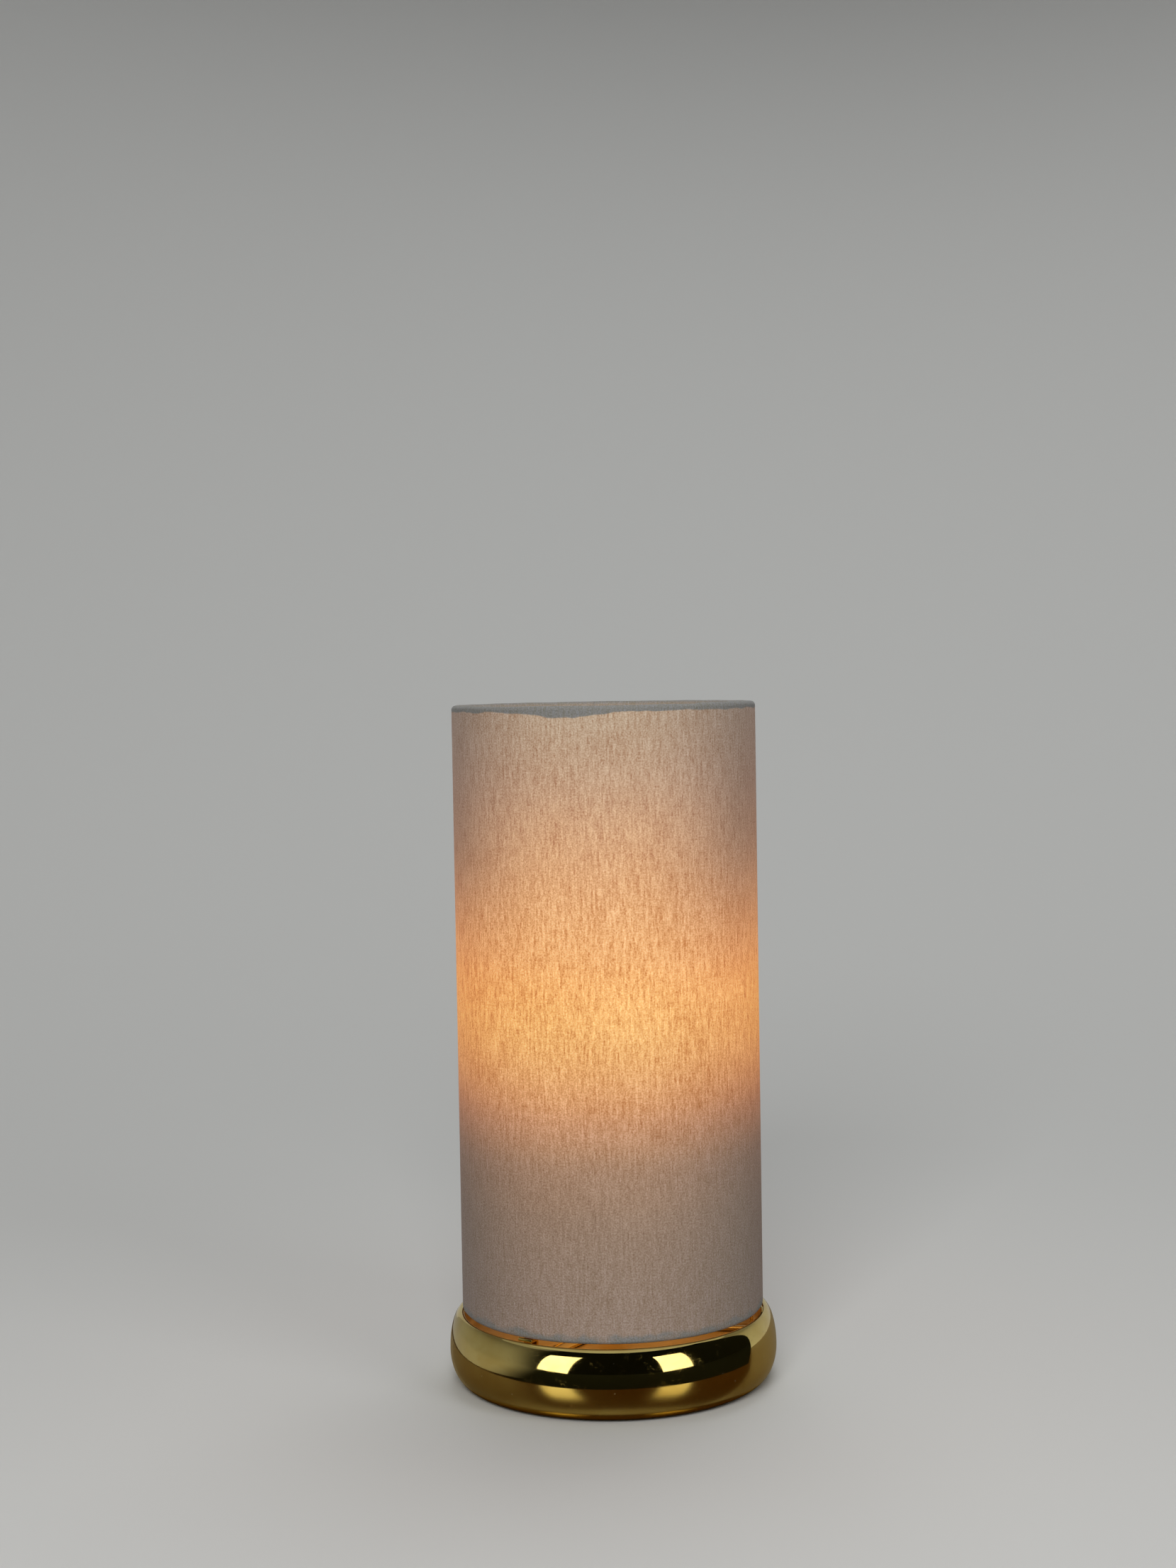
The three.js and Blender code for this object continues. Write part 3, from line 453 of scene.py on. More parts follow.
felt_green, felt_dark = (0.040, 0.056, 0.042), (0.018, 0.026, 0.019)
felt_pile = {"grain": 0.0005, "depth": 0.0003, "strength": 1.0, "stir": 1.5}
wool_felt = mottled("wool_felt", felt_green, felt_dark, (1.0, 0.9), **felt_pile)
wool_felt.node_tree.nodes["Principled BSDF"].inputs["Sheen Weight"].default_value = 0.5
wool_felt.node_tree.nodes["Principled BSDF"].inputs["Sheen Roughness"].default_value = 0.6
felt_low, felt_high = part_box("felt_pad")
felt_radius, felt_thickness = felt_high.x, felt_high.z - felt_low.z
felt_edge = felt_thickness / 3
slow_wander, fine_wander, rim_trim = 0.00025, 0.0001, 0.0004


def knife_cut(radius, height, angle):
    """A hand-cut rim wanders a little from the true circle."""
    wander = slow_wander * (np.sin(5 * angle) + 0.6 * np.sin(11 * angle + 1))
    wander += fine_wander * np.sin(67 * angle)
    return np.where(radius > 0.8 * felt_radius, radius + wander - rim_trim, radius)


felt_profile = [(0, felt_low.z), (felt_radius / 2, felt_low.z)]
felt_profile += arc((felt_radius - felt_edge, felt_low.z + felt_edge), felt_edge, felt_edge, -90, 0, 4)
felt_profile += arc((felt_radius - felt_edge, felt_high.z - felt_edge), felt_edge, felt_edge, 0, 90, 4)
felt_profile += [(felt_radius / 2, felt_high.z), (0, felt_high.z)]
felt_pad = turned("felt_disc", felt_profile, 180, wool_felt, ring=False, reshape=knife_cut)
fit_in(felt_pad, "base", "felt", "felt_pad")

# Cord grommet
# A black rubber bush, moulded with a flange at each end and pushed through the hole in the back of the base.
# Its bore is the way in for a mains cord; its rims are rounded so that they don't chafe one.
grommet_low, grommet_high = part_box("cord_grommet")
flange_radius, flange, neck_radius, cord_bore, rim = grommet_high.x, 0.0012, 0.0047, 0.0035, 0.0005
rubber_black, rubber_dark = (0.022, 0.022, 0.022), (0.012, 0.012, 0.012)
black_rubber = mottled("black_rubber", rubber_black, rubber_dark, (0.62, 0.45), grain=0.0004, depth=0.00004)


def flange_ring(back, front):
    """The rounded profile of one flange, from its back face to its front face."""
    lower = arc((flange_radius - rim, back + rim), rim, rim, -90, 0, 5)
    return lower + arc((flange_radius - rim, front - rim), rim, rim, 0, 90, 5)


grommet_profile = [(cord_bore + rim, grommet_low.y)] + flange_ring(grommet_low.y, grommet_low.y + flange)
grommet_profile += [(neck_radius, grommet_low.y + flange), (neck_radius, grommet_high.y - flange)]
grommet_profile += flange_ring(grommet_high.y - flange, grommet_high.y)
grommet_profile += arc((cord_bore + rim, grommet_high.y - rim), rim, rim, 90, 180, 5)
grommet_profile += arc((cord_bore + rim, grommet_low.y + rim), rim, rim, 180, 270, 5)
cord_grommet = turned("grommet_rubber", grommet_profile, 64, black_rubber, place=to_the_back)
fit_in(cord_grommet, "base", "black_plastic", "cord_grommet")

# Tie rod and its fasteners
# A hollow steel rod, threaded along its length and zinc-plated, ties the ballast, the deck and the holder.
# A washer and a nut are drawn up on it at each end: zinc-plated below, brass on the deck.
rod_pitch, rod_thread_depth, zinc_cloud = 0.001, 0.0002, 0.004
zinc_bright, zinc_dull = (0.54, 0.55, 0.54), (0.40, 0.41, 0.40)
rod_bright, rod_dull = (0.56, 0.56, 0.53), (0.42, 0.43, 0.43)


def threaded_steel():
    """Bright zinc plating with the rod's fine thread as relief round the axis."""
    material, tree, shader = new_finish("threaded_zinc", rod_bright, 0.32, metallic=1.0)
    place = own_place(tree)
    height = add_node(tree, "ShaderNodeSeparateXYZ", {0: place}).outputs[2]
    turns = sums(tree, "MULTIPLY", height, 2 * math.pi / rod_pitch)
    ridge = add_node(tree, "ShaderNodeMath", {0: turns}, operation="SINE").outputs[0]
    clouds = place_noise(tree, place, (zinc_cloud,) * 3, 4.0)
    tree.links.new(mixed(tree, clouds, rod_dull, rod_bright), shader.inputs["Base Color"])
    tree.links.new(remapped(tree, clouds, 0.3, 0.7, 0.22, 0.42), shader.inputs["Roughness"])
    relief(tree, shader, ridge, rod_thread_depth)
    return material


plating = {"metallic": 1.0, "depth": 0.00001}
zinc_plate = mottled("zinc_plate", zinc_bright, zinc_dull, (0.24, 0.40), grain=0.0005, **plating)
dress("threaded_tube", threaded_steel())
for node in ("bottom_washer", "bottom_nut"):
    dress(node, zinc_plate)

facet_gap, flat_within, sharp_over, eased_crease = 1e-6, 1, 40, 30  # metres, then degrees


def eased(node, body, slot, edge, material):
    """A copy of a CAD node with its facets joined up and its edges rounded, which stands for the node."""
    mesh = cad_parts[node].data.copy()
    work = bmesh.new()
    work.from_mesh(mesh)
    bmesh.ops.remove_doubles(work, verts=work.verts, dist=facet_gap)
    flat_angle, sharp_angle = math.radians(flat_within), math.radians(sharp_over)
    bmesh.ops.dissolve_limit(work, angle_limit=flat_angle, verts=work.verts, edges=work.edges)
    sharp = [e for e in work.edges if e.is_manifold and e.calc_face_angle() > sharp_angle]
    rounding = {"offset": edge, "segments": 3, "profile": 0.5, "clamp_overlap": True}
    bmesh.ops.bevel(work, geom=sharp, affect="EDGES", **rounding)
    work.to_mesh(mesh)
    work.free()
    mesh.materials.clear()
    mesh.materials.append(material)
    piece = bpy.data.objects.new(node + "_eased", mesh)
    bpy.context.scene.collection.objects.link(piece)
    smoothed(piece, eased_crease)
    fit_in(piece, body, slot, node)


eased("deck_washer", "base", "polished_brass", 0.0002, lacquered_brass)
eased("deck_nut", "base", "polished_brass", 0.0004, lacquered_brass)

# Shade carrier
# A pressed brass plate: a hub under the deck nut and three arms that turn up inside the shade's lower hem.
# A seat on each arm bears the shade; the sheared edges are rounded over by tumbling.
eased("shade_carrier", "base", "polished_brass", 0.0003, lacquered_brass)

# Stem sleeve
# A drawn brass tube slipped over the tie rod, which spaces the lampholder from the deck nut.
# Its two ends are cut square and the edges broken.
sleeve_low, sleeve_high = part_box("stem_sleeve")
sleeve_radius, sleeve_break = sleeve_high.x, 0.0004
sleeve_profile = [(tube_hole, sleeve_low.z), (sleeve_radius - sleeve_break, sleeve_low.z)]
sleeve_profile += [(sleeve_radius, sleeve_low.z + sleeve_break)]
sleeve_profile += [(sleeve_radius, sleeve_high.z - sleeve_break)]
sleeve_profile += [(sleeve_radius - sleeve_break, sleeve_high.z), (tube_hole, sleeve_high.z)]
stem_sleeve = turned("sleeve_brass", sleeve_profile, 96, lacquered_brass)
fit_in(stem_sleeve, "base", "polished_brass", "stem_sleeve")

# Lampholder
# A white thermoset E27 holder: a cap that is screwed on the rod and locked by a grub screw, and a skirt
# with the female thread. Inside sit a ceramic block, two sprung brass contacts and two terminal screws.
holder_white, holder_shade = (0.80, 0.78, 0.73), (0.74, 0.715, 0.66)
white_thermoset = mottled(
    "white_thermoset", holder_white, holder_shade, (0.42, 0.52), grain=0.0008, depth=0.00002
)
cap_low, cap_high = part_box("holder_cap")
holder_radius, spigot_radius, block_bore, cap_well = cap_high.x, 0.0175, 0.0155, 0.012
neck_foot, cap_shoulder, cap_ledge, well_floor = 0.0085, 0.1042, 0.0979, 0.0912
neck_rise, cap_edge, bead = 0.006, 0.0006, 0.0005
cap_profile = [(tube_hole, cap_low.z)]
cap_profile += arc((neck_foot - cap_edge, cap_low.z + cap_edge), cap_edge, cap_edge, -90, 0, 5)
cap_dome_rise = cap_shoulder - cap_low.z - neck_rise
cap_profile += arc((neck_foot, cap_shoulder), holder_radius - neck_foot, cap_dome_rise, -90, -6, 28)
cap_profile += arc((holder_radius - bead, cap_shoulder - bead), bead, bead, 0, 90, 5)
cap_profile += [(spigot_radius, cap_shoulder), (spigot_radius, cap_high.z), (block_bore, cap_high.z)]
cap_profile += [(block_bore, cap_ledge), (cap_well, cap_ledge)]
cap_profile += [(neck_foot, well_floor), (tube_hole, well_floor)]
holder_cap = turned("holder_cap_white", cap_profile, 96, white_thermoset)
grub_radius, grub_start, grub_end = 0.0018, 0.005, 0.017
at_the_neck = Matrix.Translation((0, 0, cap_low.z + neck_rise / 2)) @ Matrix.Rotation(-math.pi / 2, 4, "X")
drilled(holder_cap, grub_radius, grub_start, grub_end, 32, at_the_neck)
fit_in(holder_cap, "base", "white_plastic", "holder_cap")
eased("holder_grub_screw", "base", "zinc_steel", 0.0001, zinc_plate)

ceramic_pale, ceramic_cream = (0.86, 0.83, 0.76), (0.78, 0.74, 0.66)
ceramic = mottled("ceramic_block", ceramic_pale, ceramic_cream, (0.55, 0.75), grain=0.0007, depth=0.00005)
contact_gold, contact_brown = (0.62, 0.42, 0.13), (0.50, 0.31, 0.07)
sprung_brass = mottled("sprung_brass", contact_gold, contact_brown, (0.26, 0.42), grain=0.0006, **plating)
dress("holder_insert", ceramic)
for node in ("center_contact", "side_contact", "terminal_screw_live"):
    dress(node, sprung_brass)
dress("terminal_screw_neutral", zinc_plate)

thread_depth, thread_pitch, thread_foot, thread_head = 0.001, 0.003629, 0.1183, 0.13463


def thread_wave(height, angle):
    """How far the E27 thread has faded in, and its wave from root to crest, both 0 to 1."""
    run = thread_pitch / 2
    fade = np.clip(np.minimum(height - thread_foot, thread_head - height) / run, 0, 1)
    return fade, (1 + np.cos(2 * math.pi * height / thread_pitch - angle)) / 2


thread_rows = list(np.linspace(thread_foot, thread_head, 100))
skirt_low, skirt_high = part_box("holder_skirt")
skirt_bore, skirt_lip, spigot_bore, skirt_shoulder = 0.01347, 0.0015, 0.0178, 0.1095
rib_count, rib_depth, rib_foot, rib_head, rib_fade = 48, 0.0004, 0.1085, 0.1315, 0.001


def reshaped_wall(radius, wall, shape):
    """The points that lie on a plain wall take its true shape; the others stay."""
    on_the_wall = np.abs(radius - wall) < weld_gap
    return np.where(on_the_wall, shape, radius)


def skirt_wall(radius, height, angle):
    """Grip ribs round the outside and the female thread round the bore."""
    fade, wave = thread_wave(height, angle)
    bore = skirt_bore - thread_depth * fade * (1 - wave)
    ribs = np.clip(np.minimum(height - rib_foot, rib_head - height) / rib_fade, 0, 1)
    grip = holder_radius - rib_depth * ribs * np.cos(rib_count * angle / 2) ** 2
    return reshaped_wall(reshaped_wall(radius, skirt_bore, bore), holder_radius, grip)


skirt_profile = [(spigot_bore, skirt_low.z), (holder_radius, skirt_low.z)]
rib_rows = np.linspace(rib_foot - rib_fade / 2, rib_head + rib_fade / 2, 40)
skirt_profile += [(holder_radius, z) for z in rib_rows]
skirt_profile += arc((holder_radius - skirt_lip, skirt_high.z - skirt_lip), skirt_lip, skirt_lip, 0, 90, 8)
skirt_profile += arc((skirt_bore + skirt_lip, skirt_high.z - skirt_lip), skirt_lip, skirt_lip, 90, 180, 8)
skirt_profile += [(skirt_bore, z) for z in thread_rows[::-1]]
skirt_profile += [(skirt_bore, skirt_shoulder), (spigot_bore, skirt_shoulder)]
holder_skirt = turned("holder_skirt_white", skirt_profile, 240, white_thermoset, reshape=skirt_wall)
fit_in(holder_skirt, "base", "white_plastic", "holder_skirt")

# Bulb
# A screw-in LED bulb: a nickel-plated cap with a rolled thread, a gloss white housing round its driver board,
# a board with ten light sources, and an opal dome that spreads a warm light.
nickel_bright, nickel_dull = (0.62, 0.60, 0.55), (0.50, 0.48, 0.43)
nickel = mottled("nickel_plate", nickel_bright, nickel_dull, (0.20, 0.36), grain=0.0007, **plating)
glass_black, glass_gray = (0.018, 0.017, 0.018), (0.030, 0.028, 0.030)
black_glass = mottled("black_glass", glass_black, glass_gray, (0.12, 0.25), grain=0.0008, depth=0.00003)
dress("bulb_contact_tip", nickel)
dress("bulb_insulator", black_glass)

screw_cap_low, screw_cap_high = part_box("bulb_screw_cap")
thread_root, thread_crest, cap_bore, cap_floor, cap_eye = 0.012, screw_cap_high.x, 0.0112, 0.0008, 0.0045
collar, collar_drop, collar_roll, collar_rise = 0.0025, 0.0012, 0.0006, 0.0004


def rolled_thread(radius, height, angle):
    """The male thread, rolled out of the cap's thin wall."""
    fade, wave = thread_wave(height, angle)
    crest = thread_root + thread_depth * fade * wave
    return reshaped_wall(radius, thread_root, crest)


screw_profile = [(cap_eye, screw_cap_low.z), (cap_bore, screw_cap_low.z)]
screw_profile += [(thread_root, z) for z in thread_rows] + [(thread_root, screw_cap_high.z - collar)]
collar_centre = (thread_crest - collar_roll, screw_cap_high.z - collar_drop)
screw_profile += arc(collar_centre, collar_roll, collar_rise, -60, 0, 4)
screw_profile += [(thread_crest, screw_cap_high.z), (cap_bore, screw_cap_high.z)]
screw_profile += [(cap_bore, screw_cap_low.z + cap_floor), (cap_eye, screw_cap_low.z + cap_floor)]
screw_cap = turned("screw_cap_nickel", screw_profile, 120, nickel, reshape=rolled_thread)
fit_in(screw_cap, "bulb", "nickel_plate", "bulb_screw_cap")

housing_white, housing_cream = (0.84, 0.83, 0.80), (0.80, 0.785, 0.75)
gloss_white = mottled("gloss_white", housing_white, housing_cream, (0.22, 0.30), grain=0.003, depth=0.00001)
housing_low, housing_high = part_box("bulb_housing")
housing_foot, housing_wall, housing_spigot, housing_flange = 0.1378, 0.0015, 0.0109, 0.0207
flare_radius, neck = housing_high.x, 0.013
groove_drop, groove_depth, housing_lip = 0.0019, 0.0004, 0.0005


def flared(inset, foot, start, end, steps):
    """The housing's flare from its neck to its rim, moved in by an inset."""
    rim_radius = flare_radius - inset
    rise = housing_high.z - housing_foot - 2 * inset
    return arc((rim_radius, housing_foot + inset), foot - rim_radius, rise, start, end, steps)


groove_foot = housing_high.z - groove_drop
housing_profile = [(housing_spigot - housing_wall, housing_low.z), (housing_spigot, housing_low.z)]
housing_profile += [(housing_spigot, housing_foot)] + flared(0, neck, 0, 84, 30)
housing_profile += [(flare_radius - groove_depth, groove_foot + rise) for rise in (0, groove_depth)]
lip_centre = (flare_radius - housing_lip, housing_high.z - housing_lip)
housing_profile += arc(lip_centre, housing_lip, housing_lip, 0, 90, 5)
housing_profile += [(housing_flange, housing_high.z), (housing_flange, housing_high.z - housing_wall)]
housing_profile += flared(housing_wall, housing_spigot, 70, 0, 20)
bulb_housing = turned("housing_white", housing_profile, 96, gloss_white)
fit_in(bulb_housing, "bulb", "bulb_body", "bulb_housing")

mask_green, track_green = (0.025, 0.13, 0.05), (0.06, 0.26, 0.10)
tracks_per_metre, track_width, track_depth = 260.0, 0.03, 0.00003


def circuit_board():
    """Green solder mask with the copper tracks showing through it."""
    material, tree, shader = new_finish("circuit_board", mask_green, 0.4)
    place = own_place(tree)
    layout = {"Vector": place, "Scale": tracks_per_metre, "Mortar Size": track_width}
    tracks = add_node(tree, "ShaderNodeTexBrick", layout)
    line = remapped(tree, tracks.outputs[1], 0.2, 0.8)
    tree.links.new(mixed(tree, line, mask_green, track_green), shader.inputs["Base Color"])
    tree.links.new(remapped(tree, line, 0, 1, 0.35, 0.5), shader.inputs["Roughness"])
    relief(tree, shader, line, track_depth)
    return material


mask_white, mask_gray, source_yellow = (0.82, 0.82, 0.80), (0.68, 0.68, 0.66), (0.85, 0.62, 0.12)
source_rise, source_edge, speck_grain = 0.0005, 0.0002, 0.0006


def lamp_board():
    """An aluminium disc under white solder mask, with the yellow light sources standing on it."""
    material, tree, shader = new_finish("lamp_board", mask_white, 0.45)
    place = own_place(tree)
    height = add_node(tree, "ShaderNodeSeparateXYZ", {0: place}).outputs[2]
    board_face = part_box("bulb_led_board")[1].z - source_rise
    raised = remapped(tree, height, board_face, board_face + source_edge)
    specks = place_noise(tree, place, (speck_grain,) * 3, 4.0)
    mask = mixed(tree, specks, mask_gray, mask_white)
    tree.links.new(mixed(tree, raised, mask, source_yellow), shader.inputs["Base Color"])
    tree.links.new(remapped(tree, specks, 0.3, 0.7, 0.4, 0.6), shader.inputs["Roughness"])
    return material


dress("bulb_driver_board", circuit_board())
dress("bulb_led_board", lamp_board())


def ramped(tree, value, stops):
    """A smooth run of colours through stops along a value from 0 to 1."""
    run = add_node(tree, "ShaderNodeValToRGB", {0: value})
    run.color_ramp.interpolation = "CARDINAL"
    while len(run.color_ramp.elements) < len(stops):
        run.color_ramp.elements.new(0.5)
    for element, (at, color) in zip(run.color_ramp.elements, stops):
        element.position = at
        element.color = (*color, 1)
    return run.outputs[0]


def height_share(tree, low, high):
    """How far up a piece a point is, 0 at the low height and 1 at the high one."""
    return remapped(tree, add_node(tree, "ShaderNodeSeparateXYZ", {0: own_place(tree)}).outputs[2], low, high)


opal_cream, dome_light, opal_grain = (0.92, 0.86, 0.74), 1.5, 0.006


def lit_opal(low, high):
    """Opal plastic lit from behind: brightest round its belly, a little dimmer at the foot and the crown."""
    material, tree, shader = new_finish("lit_opal", opal_cream, 0.3)
    foot, belly, crown = (0.80, 0.40, 0.13), (1.0, 0.65, 0.31), (0.92, 0.54, 0.22)
    glow = ramped(tree, height_share(tree, low, high), [(0.0, foot), (0.5, belly), (1.0, crown)])
    tree.links.new(glow, shader.inputs["Emission Color"])
    shader.inputs["Emission Strength"].default_value = dome_light
    grain = place_noise(tree, own_place(tree), (opal_grain,) * 3, 3.0)
    tree.links.new(remapped(tree, grain, 0.3, 0.7, 0.26, 0.36), shader.inputs["Roughness"])
    return material


dome_low, dome_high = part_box("bulb_diffuser")
dome_radius, dome_wall = 0.030, 0.0012
dome_centre = dome_high.z - dome_radius
foot_angle = math.degrees(math.asin((dome_low.z - dome_centre) / dome_radius))
inner_angle = math.degrees(math.asin((dome_low.z - dome_centre) / (dome_radius - dome_wall)))
dome_profile = arc((0, dome_centre), dome_radius - dome_wall, dome_radius - dome_wall, 90, inner_angle, 36)
dome_profile += arc((0, dome_centre), dome_radius, dome_radius, foot_angle, 90, 44)
bulb_dome = turned("dome_opal", dome_profile, 96, lit_opal(dome_low.z, dome_high.z), ring=False)
fit_in(bulb_dome, "bulb", "opal_dome", "bulb_diffuser")

# Shade rings and liner
# Two rings of powder-coated steel wire hold the drum round; they lie inside the hems.
# A sheet of white styrene, bent into a tube and taped at the back, stiffens the cloth and spreads the light.
coat_white, coat_gray = (0.80, 0.80, 0.78), (0.74, 0.74, 0.72)
white_coat = mottled("white_coat", coat_white, coat_gray, (0.40, 0.52), grain=0.0006, depth=0.00002)
for node in ("shade_bottom_ring", "shade_top_ring"):
    dress(node, white_coat)

sheet_white, sheet_gray = (0.58, 0.56, 0.52), (0.50, 0.48, 0.43)
print_grain, print_depth = (0.0012, 0.0012, 0.012), 0.00004


def styrene(low, high):
    """Satin white sheet with a painted warm glow, strongest by the bulb, and the cloth's threads pressed
    faintly into it.
    """
    material, tree, shader = new_finish("styrene", sheet_white, 0.5)
    place = own_place(tree)
    threads = place_noise(tree, place, print_grain, 3.0)
    tree.links.new(mixed(tree, threads, sheet_gray, sheet_white), shader.inputs["Base Color"])
    tree.links.new(remapped(tree, threads, 0.3, 0.7, 0.42, 0.58), shader.inputs["Roughness"])
    # Painted glow: this emission stands in for the bulb's light on the liner, dim at the foot, strongest by
    # the bulb.
    foot, by_the_bulb, rim = (0.05, 0.028, 0.010), (0.80, 0.44, 0.17), (0.30, 0.18, 0.09)
    warm = ramped(tree, height_share(tree, low, high), [(0.0, foot), (0.5, by_the_bulb), (1.0, rim)])
    tree.links.new(warm, shader.inputs["Emission Color"])
    shader.inputs["Emission Strength"].default_value = 1.0
    relief(tree, shader, threads, print_depth)
    return material


liner_low, liner_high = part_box("shade_liner")
liner_radius, liner_thickness = liner_high.x, 0.0004
liner_inside = liner_radius - liner_thickness
liner_profile = [(liner_radius, liner_low.z), (liner_radius, liner_high.z)]
liner_profile += [(liner_inside, liner_high.z), (liner_inside, liner_low.z)]
shade_liner = turned("liner_styrene", liner_profile, 180, styrene(liner_low.z, liner_high.z))
fit_in(shade_liner, "shade", "liner_sheet", "shade_liner")

# Shade cloth
# One piece of oatmeal linen with upright slubs, glued round the liner and lapped at the back.
# Both ends are rolled in over the wire rings and glued down. The bulb's light through the cloth is a painted
# glow, an emission that stops short of the hems.
cloth_low, cloth_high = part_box("shade_fabric")
cloth_radius, cloth_thickness, hem_roll, hem_tuck = cloth_high.x, 0.00045, 0.002, 0.008
ring_radius = cloth_radius - hem_roll
lower_ring, upper_ring = cloth_low.z + hem_roll, cloth_high.z - hem_roll
lap, lap_lift, lap_run = 0.010, 0.00055, 0.006
top_hem, top_hem_droop, droop_at, droop_half_width, top_blur = 0.0026, 0.0027, 0.2215, 0.031, 0.0007
foot_hem, foot_blur, glue_grain, glue_clear = 0.0052, 0.0025, (0.012, 0.012, 0.005), 0.70
hem_waves, hem_wander, foot_wander = 80.0, 0.0004, 0.0012
nap_grain, nap_share, nap_on_face = (0.0008, 0.0008, 1), 0.25, 0.55
nap_depth, nap_strength, thread_range, face_range = 0.00022, 0.6, (0.365, 0.605), (0.34, 0.66)
thread_grains = [  # width, length and share of the slubs, the fibres, the streaks and the cloudy places
    (0.00124, 0.0130, 0.28),
    (0.00102, 0.0032, 0.27),
    (0.00240, 0.0200, 0.12),
    (0.03000, 0.0500, 0.08),
]
dark_grains = [  # width and length of the knots and the flecks, where each starts and is full, and its depth
    (0.0008, 0.0060, 0.54, 0.74, 0.08),
    (0.0007, 0.0026, 0.66, 0.74, 0.09),
]


def woven(tree, lay):
    """The upright threads and the cloth's face, each 0 in thick dark places and 1 in thin ones."""
    nap = place_noise(tree, lay, nap_grain, 2.0)
    threads = sums(tree, "MULTIPLY", nap, nap_share)
    for width, length, share in thread_grains:
        pattern = place_noise(tree, lay, (width, length, 1), 2.0)
        threads = sums(tree, "ADD", threads, sums(tree, "MULTIPLY", pattern, share))
    for width, length, start, full, depth in dark_grains:
        dark = remapped(tree, place_noise(tree, lay, (width, length, 1), 1.0), start, full)
        threads = sums(tree, "SUBTRACT", threads, sums(tree, "MULTIPLY", dark, depth))
    fuzz = sums(tree, "MULTIPLY", nap, nap_on_face)
    face = sums(tree, "ADD", fuzz, sums(tree, "MULTIPLY", threads, 1 - nap_on_face))
    return remapped(tree, threads, *thread_range), remapped(tree, face, *face_range)


def single_cloth(tree, around):
    """1 where the cloth is single and the painted glow shows, less in the hems; the upper hem droops once."""
    height = add_node(tree, "ShaderNodeSeparateXYZ", {0: own_place(tree)}).outputs[2]
    wave = add_node(tree, "ShaderNodeTexNoise", {"W": around, "Scale": hem_waves}, noise_dimensions="1D")
    ease = remapped(tree, wave.outputs[0], 0.3, 0.7, -hem_wander, hem_wander)
    beside_droop = away_from(tree, around, droop_at)
    droop = remapped(tree, beside_droop, 0.0, droop_half_width, top_hem_droop, 0.0, "SMOOTHSTEP")
    top_line = sums(tree, "SUBTRACT", sums(tree, "SUBTRACT", cloth_high.z - top_hem, droop), ease)
    top_start = sums(tree, "SUBTRACT", top_line, top_blur)
    below = remapped(tree, height, top_start, top_line, 1.0, 0.0, "SMOOTHSTEP")
    foot_ease = sums(tree, "MULTIPLY", ease, foot_wander / hem_wander)
    foot_line = sums(tree, "ADD", foot_ease, cloth_low.z + foot_hem)
    foot_start = sums(tree, "SUBTRACT", foot_line, foot_blur)
    glue = remapped(tree, place_noise(tree, own_place(tree), glue_grain), 0.44, 0.68, 0.0, glue_clear)
    above = remapped(tree, height, foot_start, foot_line, glue, 1.0, "SMOOTHSTEP")
    return sums(tree, "MULTIPLY", below, above)


# The painted glow is centred at bulb_share of the drum's height and is brightest along the cloth's front; it
# turns with the cloth.
bulb_share, glow_shift = 0.515, 0.006
front_line = math.pi * cloth_radius + lap / 2 - glow_shift
front_half, side_start, side_color = 0.012, 0.088, (1.02, 0.87, 1)
glow_core, glow_edge, core_loss, edge_loss = 0.03, 0.30, 0.09, 0.60
# glow_run holds the painted glow's colours, not a light's.
glow_run = [  # share of the drum's height, and the colour of the light there
    (0.00, (0.085, 0.030, 0.015)),
    (0.20, (0.125, 0.036, 0.003)),
    (0.29, (0.230, 0.068, 0.003)),
    (0.37, (0.470, 0.150, 0.008)),
    (0.49, (0.680, 0.276, 0.013)),
    (0.60, (0.672, 0.256, 0.023)),
    (0.83, (0.410, 0.172, 0.055)),
    (1.00, (0.250, 0.140, 0.072)),
]


def painted_bulb_glow(tree, around):
    """A painted glow for the light through single cloth: a run of colours up the drum, shorter and tinted
    away from its front.
    """
    up = height_share(tree, cloth_low.z, cloth_high.z)
    from_front = away_from(tree, around, front_line)
    aside = remapped(tree, from_front, front_half, side_start, 0.0, 1.0, "SMOOTHSTEP")
    from_bulb = away_from(tree, up, bulb_share)
    loss = remapped(tree, from_bulb, glow_core, glow_edge, core_loss, edge_loss, "SMOOTHSTEP")
    kept = sums(tree, "SUBTRACT", 1.0, sums(tree, "MULTIPLY", aside, loss))
    warmer = mixed(tree, aside, (1, 1, 1), side_color)
    glow = mixed(tree, 1.0, ramped(tree, up, glow_run), warmer, "MULTIPLY")
    return mixed(tree, 1.0, glow, kept, "MULTIPLY")


thick, thin = (0.215, 0.196, 0.158), (0.385, 0.362, 0.300)
doubled_thick, doubled_thin = (0.230, 0.220, 0.198), (0.352, 0.340, 0.310)
# Thread tints for painted backlight: the yarn ones go into the base colour near the bulb's height, the
# through ones into the painted glow.
dark_backlit_yarn, pale_backlit_yarn = (0.94, 0.86, 0.48), (1.06, 1.14, 1.52)
backlit_yarn_core, backlit_yarn_edge, backlit_yarn_least = 0.10, 0.34, 0.28
dark_through, pale_through = (0.69, 0.37, 0.14), (1.31, 1.64, 1.86)


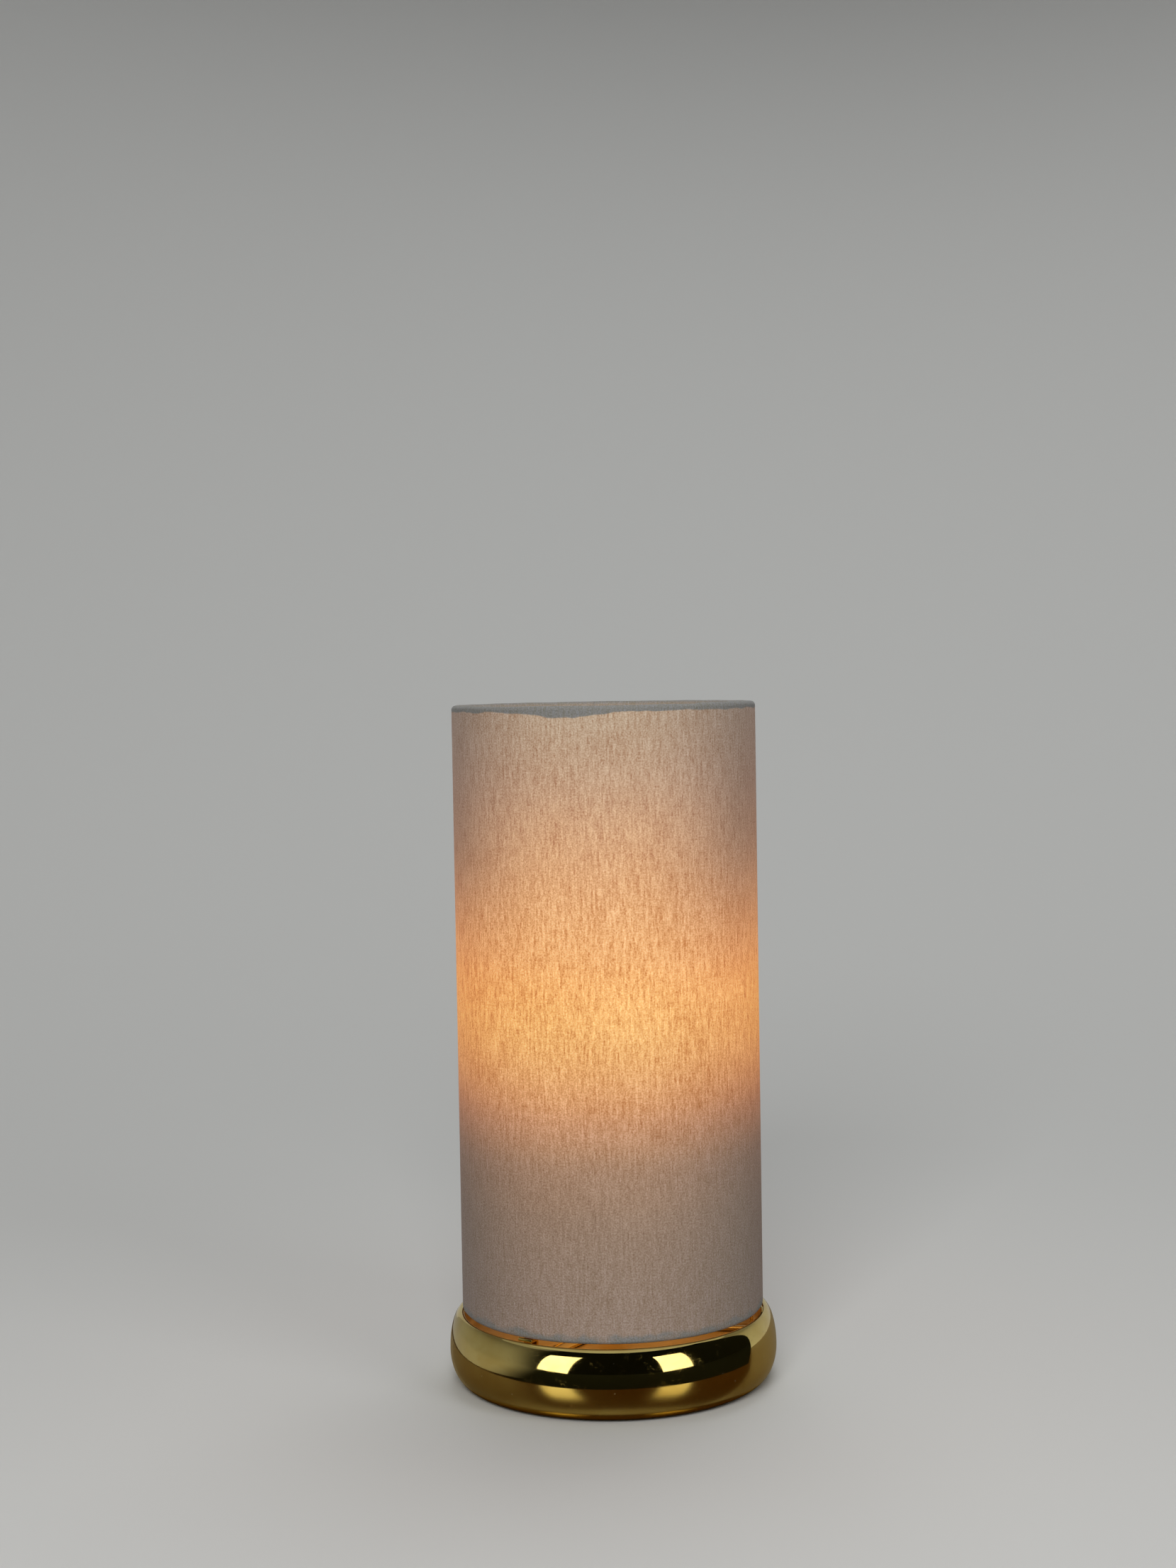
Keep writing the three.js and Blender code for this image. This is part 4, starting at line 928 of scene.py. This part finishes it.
def linen():
    """Slubbed linen: its tone and its painted glow share the same threads."""
    material, tree, shader = new_finish("slubbed_linen", thin, 0.95)
    lay = add_node(tree, "ShaderNodeUVMap", uv_map="lay").outputs[0]
    around = add_node(tree, "ShaderNodeSeparateXYZ", {0: lay}).outputs[0]
    thread, face = woven(tree, lay)
    single = single_cloth(tree, around)
    doubled = mixed(tree, face, doubled_thick, doubled_thin)
    tone = mixed(tree, single, doubled, mixed(tree, face, thick, thin))
    # Near the bulb's height the threads show stronger in the base colour: painted backlight.
    from_bulb = away_from(tree, height_share(tree, cloth_low.z, cloth_high.z), bulb_share)
    clear = remapped(tree, from_bulb, backlit_yarn_core, backlit_yarn_edge, 1.0, backlit_yarn_least, "SMOOTHSTEP")
    backlit_yarn = mixed(tree, clear, (1, 1, 1), mixed(tree, thread, dark_backlit_yarn, pale_backlit_yarn))
    tree.links.new(mixed(tree, 1.0, tone, backlit_yarn, "MULTIPLY"), shader.inputs["Base Color"])
    tree.links.new(remapped(tree, face, 0, 1, 0.98, 0.84), shader.inputs["Roughness"])
    shader.inputs["Sheen Weight"].default_value = 0.15
    shader.inputs["Sheen Roughness"].default_value = 0.5
    relief(tree, shader, face, nap_depth, nap_strength)
    through = mixed(tree, thread, dark_through, pale_through)
    # The emission is the painted glow, broken by the threads and stopped at the hems.
    lit = mixed(tree, 1.0, painted_bulb_glow(tree, around), through, "MULTIPLY")
    tree.links.new(mixed(tree, 1.0, lit, single, "MULTIPLY"), shader.inputs["Emission Color"])
    shader.inputs["Emission Strength"].default_value = 1.0
    return material


tuck_rows, roll_rows, wall_rows, cloth_columns, cloth_crease = 4, 16, 120, 420, 60
wall_waver, rim_sway, rim_ripple, edge_fray, edge_ripple = 0.00006, 0.00005, 0.00004, 0.0009, 0.0006
fold_rise, fold_start, fold_end, front_angle = 0.0004, 36.5, 80, 270  # metres, then degrees


def rolled_hem(ring_height, start):
    """The cloth half round a wire ring, from an angle in degrees on: radius, height and the way it faces."""
    rows = []
    for angle in np.radians(np.linspace(start, start + 180, roll_rows + 1)):
        side, rise = math.cos(angle), math.sin(angle)
        rows.append((ring_radius + hem_roll * side, ring_height + hem_roll * rise, side, rise))
    return rows


def cloth_path():
    """The cloth's face from one hem's inner edge to the other's, in the same terms."""
    inside = ring_radius - hem_roll
    tucks = hem_tuck * np.arange(1, tuck_rows + 1) / tuck_rows
    rows = [(inside, lower_ring + tuck, -1, 0) for tuck in tucks[::-1]]
    rows += rolled_hem(lower_ring, 180)
    rows += [(cloth_radius, z, 1, 0) for z in np.linspace(lower_ring, upper_ring, wall_rows + 1)[1:-1]]
    rows += rolled_hem(upper_ring, 0)
    rows += [(inside, upper_ring - tuck, -1, 0) for tuck in tucks]
    return np.array(rows)


def cloth_height(path, angle):
    """Each point's height: the rim sways and has a double fold, and the cut edges inside are frayed."""
    right_of_front = np.degrees(angle) - front_angle
    fold = fold_rise * np.clip(np.minimum(right_of_front - fold_start, fold_end - right_of_front), 0, 1)
    sway = fold + rim_sway * np.sin(9 * angle) + rim_ripple * np.sin(21 * angle + 1)
    near_top = np.clip((path[:, 1] - upper_ring) / hem_roll, 0, 1)
    nearest_ring = np.where(path[:, 1] < cloth_high.z / 2, lower_ring, upper_ring)
    tucked = np.isclose(path[:, 2], -1)
    tucked_share = tucked * (path[:, 1] - nearest_ring) / hem_tuck
    fray = edge_fray * np.sin(4 * angle + 1) + edge_ripple * np.sin(11 * angle)
    return path[:, None, 1] + np.outer(near_top, sway) + np.outer(tucked_share, fray)


def drum_cloth(material):
    """The cloth as one sheet, wrapped once round the drum and over its own start at the back."""
    path = cloth_path()
    girth = 2 * math.pi * cloth_radius + lap
    along = np.linspace(0, girth, cloth_columns + 1)
    angle = math.pi / 2 - lap / (2 * cloth_radius) + along / cloth_radius
    onto = np.clip((along - (girth - lap - lap_run)) / lap_run, 0, 1)
    lift = lap_lift * onto**2 * (3 - 2 * onto)
    waver = wall_waver * (np.sin(7 * angle + 0.5) + np.sin(13 * angle + 2) + 0.7 * np.sin(23 * angle))
    radius = path[:, None, 0] + np.outer(path[:, 2], lift + waver)
    points = np.stack([radius * np.cos(angle), radius * np.sin(angle), cloth_height(path, angle)], -1)
    run = run_along(path[:, :2])
    cloth = net_piece("shade_linen", points, along, run, material, closed=False, crease=cloth_crease)
    weight = cloth.modifiers.new("cloth_thickness", "SOLIDIFY")
    weight.thickness = cloth_thickness
    weight.offset = -1
    return cloth, (girth, run[-1])


shade_cloth, cloth_cut = drum_cloth(linen())
fit_in(shade_cloth, "shade", "linen", "shade_fabric")
